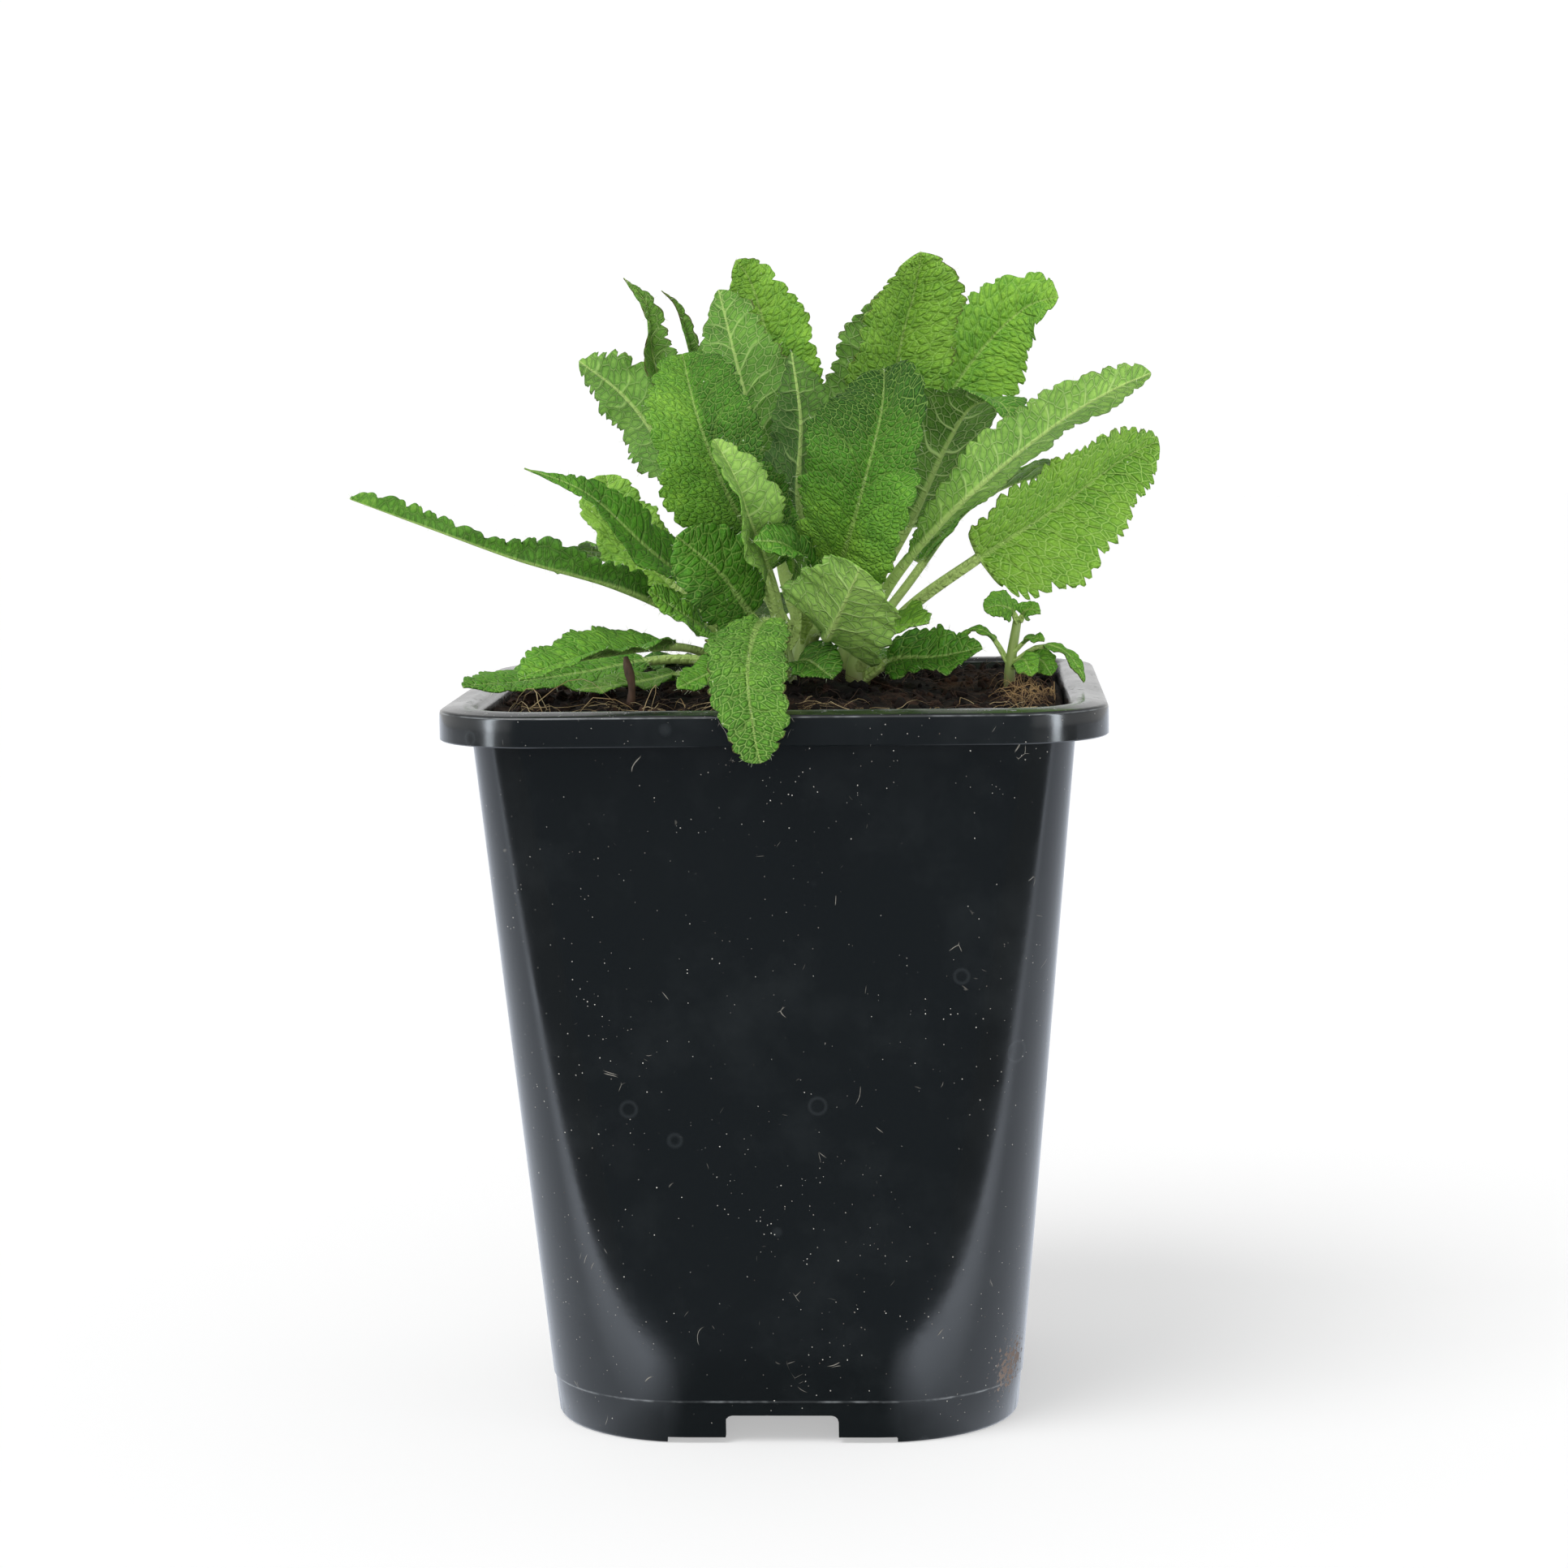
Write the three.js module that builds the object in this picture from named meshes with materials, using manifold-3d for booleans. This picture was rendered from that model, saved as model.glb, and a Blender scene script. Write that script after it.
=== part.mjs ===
// A young perennial salvia (meadow sage) growing in its square nursery pot.
// Millimetres, +Z up, the front is -Y. The origin is the centre of the pot's base,
// on the plane that the pot stands on.
import * as THREE from "three";
import { mergeVertices } from "three/addons/utils/BufferGeometryUtils.js";
import Module from "manifold-3d";

const wasm = await Module();
wasm.setup();

// ---- Driving dimensions -------------------------------------------------------------------

const GAP = 0.3; // air left between pieces that touch

const RIM_HALF = 55; // the pot is 110 mm square over its rim
const RIM_CORNER = 17.5;
const RIM_TOP = 124.5;
const RIM_BAND_BOTTOM = 119;
const RIM_SKIRT_THICK = 1.2;
const BODY_TOP_HALF = 49.3; // the wall where it meets the rim
const BODY_TOP_CORNER = 11;
const BASE_HALF = 39.8;
const BASE_CORNER = 24;
const WALL = 1.3;
const FLANGE_THICK = 1.5; // the flat part of the rim, outside the wall
const RIM_EDGE = [[0.3, 1.5], [1, 0.6], [2.6, 0]]; // its rounded edge: inset, depth under the top
const INNER_EDGE = 1.2; // depth of the slope from the rim's top down to the inside of the wall
const FOOT_RECESS = 5.4; // the floor's underside stands clear of the ground
const FOOT_RING_THICK = 1.7;
const FOOT_CHAMFER = 0.5;
const FLOOR_TOP = FOOT_RECESS + WALL;
const MOULD_LINE = 7.2; // parting step of the mould, all round the foot
const MOULD_STEP = 0.25;
const MOULD_STEP_HIGH = 0.2;
const NOTCH = { wide: 19, high: 4.9 }; // drain notch in the middle of each side
const NOTCH_STEP = { wide: 38.7, high: 1.07 };
const DRAIN_HOLE_RADIUS = 4.5;
const DRAIN_RING_RADIUS = 22;

const SOIL_EDGE = 122.4; // peat level along the pot's wall
const SOIL_MOUND = { high: 3.2, radius: 26 }; // extra height round the crown
const SOIL_LUMPS = { count: 26, reach: 44, smallest: 3, largest: 7, high: 0.7 };
const SOIL_RINGS = [1, 0.9, 0.78, 0.64, 0.5, 0.36, 0.22, 0.1]; // shares of the way out to the wall

const BLADE_THICK = 0.7;
const RIB_DEPTH = 0.55; // how far the midrib stands out of the underside
const PETIOLE_HALF = 1;
const QUILT = 0.5; // height of the swollen cells between the side veins
const TOOTH = 0.085; // tooth depth as a share of the blade's half width
const SLANT = 0.07; // how far the side veins lean forward, as a share of the blade's length
const WAVE_OFFSET = 2.1; // the right margin's wave is this far ahead of the left one, in radians
const WAIST_LENGTH = 0.18; // half the length of a blade's waist, as a share of the blade's length
const STALK_RING_STEP = 7; // length of stalk between two of its rings

// Shoots that rise from the rootstock: place on the plan, top height and radius.
const SHOOTS = {
  west: { x: -8, y: -2, top: 133, radius: 2.6 },
  south: { x: 0.5, y: -10, top: 133.5, radius: 2.6 },
  centre: { x: 4, y: -1, top: 135, radius: 2.8 },
  east: { x: 13, y: -5, top: 132, radius: 2.6 },
  north: { x: 2, y: 9, top: 134, radius: 2.8 },
  north_west: { x: -7, y: 6, top: 134, radius: 2.6 },
  north_east: { x: 11, y: 6, top: 134, radius: 2.6 },
};
const ROOTSTOCK = { x: 2.5, y: -1, radius: 13, bottom: 106, top: 119 };

const SIDE_STEM = {
  radius: 1,
  end: 0.7,
  path: [[39, -10, 112], [39, -10, 122], [39.3, -10, 128], [40.5, -10, 135.5]],
};
const TWIG = { radius: 1.2, end: 0.9, path: [[-24.4, -22, 116], [-24.8, -22, 124], [-25.4, -22, 130.3]] };

// ---- Colours ------------------------------------------------------------------------------

const finish = (color, roughness) => new THREE.MeshStandardMaterial({ color, roughness, metalness: 0 });
const MATERIALS = {
  pot: () => finish(0x22262a, 0.35),
  soil: () => finish(0x2c221b, 0.95),
  crown: () => finish(0x9cb465, 0.6),
  twig: () => finish(0x4a3429, 0.85),
  bright: () => finish(0x68a33f, 0.6),
  deep: () => finish(0x3f8038, 0.6),
  pale: () => finish(0x86ad6c, 0.65),
};

// ---- Small helpers ------------------------------------------------------------------------

const vec = (p) => new THREE.Vector3(...p);
const mix = (a, b, t) => a + (b - a) * t;

// A repeatable stream of numbers from 0 to 1.
function randomStream(seed) {
  let state = seed >>> 0;
  return () => {
    state = (state * 1664525 + 1013904223) >>> 0;
    return state / 4294967296;
  };
}

function geometryOf(points, triangles) {
  const geometry = new THREE.BufferGeometry();
  const positions = points.flatMap((p) => p.toArray());
  geometry.setAttribute("position", new THREE.Float32BufferAttribute(positions, 3));
  geometry.setIndex(triangles.flat());
  return geometry;
}

function solidOf(geometry) {
  const bare = new THREE.BufferGeometry().setAttribute("position", geometry.getAttribute("position"));
  bare.setIndex(geometry.index);
  const merged = mergeVertices(bare, 1e-4);
  return new wasm.Manifold(
    new wasm.Mesh({
      numProp: 3,
      vertProperties: merged.attributes.position.array,
      triVerts: new Uint32Array(merged.index.array),
    }),
  );
}

function meshOf(name, solid, material) {
  const { numProp, vertProperties, triVerts } = solid.getMesh();
  const points = [];
  for (let i = 0; i < vertProperties.length; i += numProp) {
    points.push(new THREE.Vector3(vertProperties[i], vertProperties[i + 1], vertProperties[i + 2]));
  }
  const mesh = new THREE.Mesh(geometryOf(points, [Array.from(triVerts)]), material);
  mesh.geometry.computeVertexNormals();
  mesh.name = name;
  return mesh;
}

// What is left of a cut solid once loose scraps are dropped.
const largestBody = (solid) => solid.decompose().reduce((a, b) => (b.volume() > a.volume() ? b : a));

// Joins rings of equal length into a closed skin, with a flat fan on each end. The rings turn
// anticlockwise seen against the direction in which they follow each other.
function loft(rings) {
  const n = rings[0].length;
  const points = rings.flat();
  const triangles = [];
  for (let r = 0; r + 1 < rings.length; r++) {
    for (let i = 0; i < n; i++) {
      const a = r * n + i;
      const b = r * n + ((i + 1) % n);
      triangles.push([a, b, b + n], [a, b + n, a + n]);
    }
  }
  const middle = (ring) => ring.reduce((sum, p) => sum.add(p), new THREE.Vector3()).divideScalar(n);
  const last = (rings.length - 1) * n;
  points.push(middle(rings[0]), middle(rings.at(-1)));
  for (let i = 0; i < n; i++) {
    const next = (i + 1) % n;
    triangles.push([points.length - 2, next, i], [points.length - 1, last + i, last + next]);
  }
  return solidOf(geometryOf(points, triangles));
}

function roundRing(x, y, z, radius, sides) {
  return Array.from({ length: sides }, (_, i) => {
    const angle = (2 * Math.PI * i) / sides;
    return new THREE.Vector3(x + radius * Math.cos(angle), y + radius * Math.sin(angle), z);
  });
}

// ---- Pot ----------------------------------------------------------------------------------

const CORNER_STEPS = 6;

// One level of the pot: a square with round corners.
function squareRing(half, corner, z) {
  const ring = [];
  for (let quarter = 0; quarter < 4; quarter++) {
    const centre = (quarter * Math.PI) / 2 + Math.PI / 4;
    const reach = (half - corner) * Math.SQRT2;
    for (let step = 0; step <= CORNER_STEPS; step++) {
      const angle = centre + ((step / CORNER_STEPS - 0.5) * Math.PI) / 2;
      ring.push(
        new THREE.Vector3(
          reach * Math.cos(centre) + corner * Math.cos(angle),
          reach * Math.sin(centre) + corner * Math.sin(angle),
          z,
        ),
      );
    }
  }
  return ring;
}

// The wall's outer half width and corner radius at a height.
function wallAt(z) {
  const t = z / RIM_BAND_BOTTOM;
  return { half: mix(BASE_HALF, BODY_TOP_HALF, t), corner: mix(BASE_CORNER, BODY_TOP_CORNER, t) };
}

function wallRing(z, inset) {
  const { half, corner } = wallAt(z);
  return squareRing(half - inset, corner - inset, z);
}

function potSolid() {
  const flangeUnder = RIM_TOP - FLANGE_THICK;
  const rimRing = (inset, z) => squareRing(RIM_HALF - inset, RIM_CORNER - inset, z);
  const rings = [
    wallRing(FOOT_RECESS, FOOT_RING_THICK),
    wallRing(0, FOOT_RING_THICK),
    wallRing(0, FOOT_CHAMFER),
    wallRing(FOOT_CHAMFER, 0),
    wallRing(MOULD_LINE, 0),
    wallRing(MOULD_LINE + MOULD_STEP_HIGH, -MOULD_STEP),
    wallRing(RIM_BAND_BOTTOM, 0),
    wallRing(flangeUnder, 0),
    rimRing(RIM_SKIRT_THICK, flangeUnder),
    rimRing(RIM_SKIRT_THICK, RIM_BAND_BOTTOM),
    rimRing(0, RIM_BAND_BOTTOM),
    ...RIM_EDGE.map(([inset, depth]) => rimRing(inset, RIM_TOP - depth)),
    squareRing(BODY_TOP_HALF, BODY_TOP_CORNER, RIM_TOP),
    wallRing(RIM_TOP - INNER_EDGE, WALL),
    wallRing(FLOOR_TOP, WALL),
  ];
  return loft(rings).subtract(potCuts());
}

// The drain notches in the foot and the holes through the floor, as one cutter.
function potCuts() {
  const block = (wide, high, turned) => {
    const long = 2 * RIM_HALF;
    const box = new THREE.BoxGeometry(turned ? long : wide, turned ? wide : long, 2 * high);
    return solidOf(box);
  };
  const cuts = [];
  for (const turned of [false, true]) {
    cuts.push(block(NOTCH.wide, NOTCH.high, turned), block(NOTCH_STEP.wide, NOTCH_STEP.high, turned));
  }
  const hole = (x, y) =>
    loft([
      roundRing(x, y, FOOT_RECESS - 1, DRAIN_HOLE_RADIUS, 12),
      roundRing(x, y, FLOOR_TOP + 1, DRAIN_HOLE_RADIUS, 12),
    ]);
  cuts.push(hole(0, 0));
  for (let i = 0; i < 4; i++) {
    const angle = (Math.PI / 2) * i + Math.PI / 4;
    cuts.push(hole(DRAIN_RING_RADIUS * Math.cos(angle), DRAIN_RING_RADIUS * Math.sin(angle)));
  }
  return wasm.Manifold.union(cuts);
}

// ---- Soil ---------------------------------------------------------------------------------

// The peat fills the pot. Its top is a low mound of lumps, so that it meets the wall evenly.
function soilSolid() {
  const random = randomStream(11);
  const { count, reach, smallest, largest, high } = SOIL_LUMPS;
  const lumps = Array.from({ length: count }, () => ({
    x: mix(-reach, reach, random()),
    y: mix(-reach, reach, random()),
    size: mix(smallest, largest, random()),
    high: mix(-high, high, random()),
  }));
  const level = (x, y) => {
    const far = Math.hypot(x - ROOTSTOCK.x, y - ROOTSTOCK.y);
    const mound = SOIL_MOUND.high * Math.exp(-((far / SOIL_MOUND.radius) ** 2));
    const lump = lumps.reduce((sum, l) => {
      return sum + l.high * Math.exp(-(((x - l.x) ** 2 + (y - l.y) ** 2) / l.size ** 2));
    }, 0);
    return SOIL_EDGE + mound + lump;
  };
  const rings = [wallRing(FLOOR_TOP + GAP, WALL + GAP)];
  const rim = wallRing(SOIL_EDGE, WALL + GAP);
  for (const share of SOIL_RINGS) {
    rings.push(
      rim.map((p) => {
        const x = p.x * share;
        const y = p.y * share;
        return new THREE.Vector3(x, y, share === 1 ? SOIL_EDGE : level(x, y));
      }),
    );
  }
  return loft(rings);
}

// ---- Crown --------------------------------------------------------------------------------

// The rootstock with the short shoots that carry the leaves. "extra" swells it all round, for
// the holes that it needs in its neighbours.
function crownSolid(extra) {
  const { x, y, radius, bottom, top } = ROOTSTOCK;
  const shoots = Object.values(SHOOTS).map((s) =>
    loft([
      roundRing(s.x, s.y, top - 6, s.radius + 0.4 + extra, 8),
      roundRing(s.x, s.y, mix(top, s.top, 0.5), s.radius + extra, 8),
      roundRing(s.x, s.y, s.top + extra, s.radius - 0.9 + extra, 8),
    ]),
  );
  const rootstock = loft([
    roundRing(x, y, bottom - extra, 0.45 * radius + extra, 14),
    roundRing(x, y, mix(bottom, top, 0.45), 0.9 * radius + extra, 14),
    roundRing(x, y, top - 2, radius + extra, 14),
    roundRing(x, y, top + extra, 0.8 * radius + extra, 14),
  ]);
  return wasm.Manifold.union([rootstock, ...shoots]);
}

// ---- Leaves -------------------------------------------------------------------------------

// The direction that the leaf's upper side faces, a share u of the way along it.
function faceAt(faces, u) {
  const at = u * (faces.length - 1);
  const i = Math.min(Math.floor(at), faces.length - 2);
  return vec(faces[i]).normalize().lerp(vec(faces[i + 1]).normalize(), at - i);
}

// Directions at a place on the midrib: along it, out of the upper side, and across to the right.
function frameAt(curve, faces, u) {
  const along = curve.getTangentAt(u);
  const out = faceAt(faces, u);
  out.addScaledVector(along, -out.dot(along)).normalize();
  return { at: curve.getPointAt(u), along, out, across: new THREE.Vector3().crossVectors(along, out) };
}

// Half width of the blade, 0 to 1, a share t of the way from its base to its tip. A waist is
// the place of a narrow part and the share of the width that it takes away.
function outline(t, { base = 0.42, tip = 0.6, waist: [place, taken] = [0.5, 0] }) {
  const peak = base / (base + tip);
  const narrow = 1 - taken * Math.exp(-(((t - place) / WAIST_LENGTH) ** 2));
  return (narrow * (t ** base * (1 - t) ** tip)) / (peak ** base * (1 - peak) ** tip);
}

// A skin in the making: numbered points, and triangles that turn the other way on the left half.
function newSkin() {
  const points = [];
  const triangles = [];
  return {
    points,
    triangles,
    add: (p) => points.push(p) - 1,
    face: (side, [a, b, c]) => triangles.push(side > 0 ? [a, b, c] : [a, c, b]),
  };
}

// A pair of points, upper and lower, on one half of the blade: "lateral" out from the midrib,
// and lifted off the plane in which the folded half lies.
function bladePair(skin, leaf, t, side, lateral, lift) {
  const { at, out, across } = frameAt(leaf.curve, leaf.faces, mix(leaf.blade, 1, t));
  const fold = THREE.MathUtils.degToRad(leaf.fold);
  const slope = across.clone().multiplyScalar(side * Math.cos(fold)).addScaledVector(out, Math.sin(fold));
  const normal = out.clone().multiplyScalar(Math.cos(fold)).addScaledVector(across, -side * Math.sin(fold));
  const middle = at.clone().addScaledVector(slope, lateral).addScaledVector(normal, lift);
  return {
    upper: skin.add(middle.clone().addScaledVector(normal, BLADE_THICK / 2)),
    lower: skin.add(middle.clone().addScaledVector(normal, -BLADE_THICK / 2)),
  };
}

// The pair on the midrib, which stands out of the underside and fades towards the tip.
function ribPair(skin, leaf, t) {
  const { at, out } = frameAt(leaf.curve, leaf.faces, mix(leaf.blade, 1, t));
  const deep = BLADE_THICK / 2 + RIB_DEPTH * (1 - 0.7 * t);
  return {
    upper: skin.add(at.clone().addScaledVector(out, BLADE_THICK / 2)),
    lower: skin.add(at.clone().addScaledVector(out, -deep)),
  };
}

// The stalk's rings of six points each, with a shallow channel on the upper side.
function stalkRings(skin, leaf) {
  const { curve, faces, blade, stalk } = leaf;
  const steps = Math.max(2, Math.round((curve.getLength() * blade) / STALK_RING_STEP));
  return Array.from({ length: steps }, (_, i) => {
    const { at, out, across } = frameAt(curve, faces, (blade * i) / steps);
    const wide = stalk * mix(1.1, 0.85, i / steps);
    const corner = (side, up) => {
      return skin.add(at.clone().addScaledVector(across, side * wide).addScaledVector(out, up * wide));
    };
    const upper = [corner(-1, 0.45), corner(0, 0.3), corner(1, 0.45)];
    return [...upper, corner(1, -0.3), corner(0, -0.85), corner(-1, -0.3)];
  });
}

// One half of the blade: a row of cells, one for each tooth. A cell runs from the midrib to the
// margin between two side veins and swells in the middle. Both faces get the same triangles.
// "lobes" is how far the base of the blade reaches back along the stalk.
// Returns the pairs in the hollows between the teeth.
function halfBlade(skin, leaf, ribs, side) {
  const { half, teeth, wave, waves, stalk, lobes = 0 } = leaf;
  const slanted = (t, share) => t + share * SLANT * Math.sin(Math.PI * t);
  const back = (t, share) => share * lobes * (1 - t) ** 5;
  const start = side > 0 ? WAVE_OFFSET : 0;
  const liftAt = (t) => wave * outline(t, leaf) * Math.sin(2 * Math.PI * waves * t + start);
  const least = stalk * 0.75;
  const hollows = ribs.map((_, k) => {
    const t = slanted(k / teeth, 1);
    const end = k === 0 || k === teeth;
    const lateral = end ? least : Math.max(least, half * (outline(t, leaf) - TOOTH));
    const place = end ? t : t - back(k / teeth, 1);
    return bladePair(skin, leaf, place, side, lateral, end ? 0 : liftAt(k / teeth));
  });
  for (let k = 0; k < teeth; k++) {
    const peakAt = (k + 0.6) / teeth;
    const peakT = slanted(peakAt, 1);
    const peakOut = half * outline(peakT, leaf) * (1 + 0.6 * TOOTH);
    const peak = bladePair(skin, leaf, peakT - back(peakAt, 1), side, peakOut, liftAt(peakAt));
    const middleAt = (k + 0.5) / teeth;
    const middleT = slanted(middleAt, 0.5);
    const swell = QUILT * Math.min(1, half / 8) * (k === 0 ? 0.4 : 1);
    const middleOut = 0.5 * half * outline(middleT, leaf);
    const middlePlace = middleT - back(middleAt, 0.5);
    const middle = bladePair(skin, leaf, middlePlace, side, middleOut, 0.4 * liftAt(middleAt) + swell);
    const border = [ribs[k], hollows[k], peak, hollows[k + 1], ribs[k + 1]];
    border.forEach((here, i) => {
      const next = border[(i + 1) % border.length];
      skin.face(side, [middle.upper, here.upper, next.upper]);
      skin.face(side, [middle.lower, next.lower, here.lower]);
    });
    for (const [a, b] of [[hollows[k], peak], [peak, hollows[k + 1]]]) {
      skin.face(side, [a.upper, a.lower, b.lower]);
      skin.face(side, [a.upper, b.lower, b.upper]);
    }
  }
  return hollows;
}

// One leaf as a closed skin: a six-sided stalk that opens into a blade folded along its midrib.
function leafSolid(shape) {
  const leaf = { blade: 0.35, fold: 15, wave: 0.6, waves: 2, stalk: PETIOLE_HALF, ...shape };
  leaf.curve = new THREE.CatmullRomCurve3(leaf.path.map(vec), false, "centripetal");
  const skin = newSkin();
  const rings = stalkRings(skin, leaf);
  const ribs = Array.from({ length: leaf.teeth + 1 }, (_, k) => ribPair(skin, leaf, k / leaf.teeth));
  const left = halfBlade(skin, leaf, ribs, -1);
  const right = halfBlade(skin, leaf, ribs, 1);
  const section = (k) => {
    const across = [left[k], ribs[k], right[k]];
    return [...across.map((pair) => pair.upper), ...across.reverse().map((pair) => pair.lower)];
  };
  rings.push(section(0));
  for (let r = 0; r + 1 < rings.length; r++) {
    rings[r].forEach((a, i) => {
      const b = rings[r][(i + 1) % 6];
      const c = rings[r + 1][(i + 1) % 6];
      skin.triangles.push([a, b, c], [a, c, rings[r + 1][i]]);
    });
  }
  const fan = (ring) => [1, 2, 3, 4].map((i) => [ring[0], ring[i], ring[i + 1]]);
  skin.triangles.push(...fan(rings[0].slice().reverse()), ...fan(section(leaf.teeth)));
  return solidOf(geometryOf(skin.points, skin.triangles));
}

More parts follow.
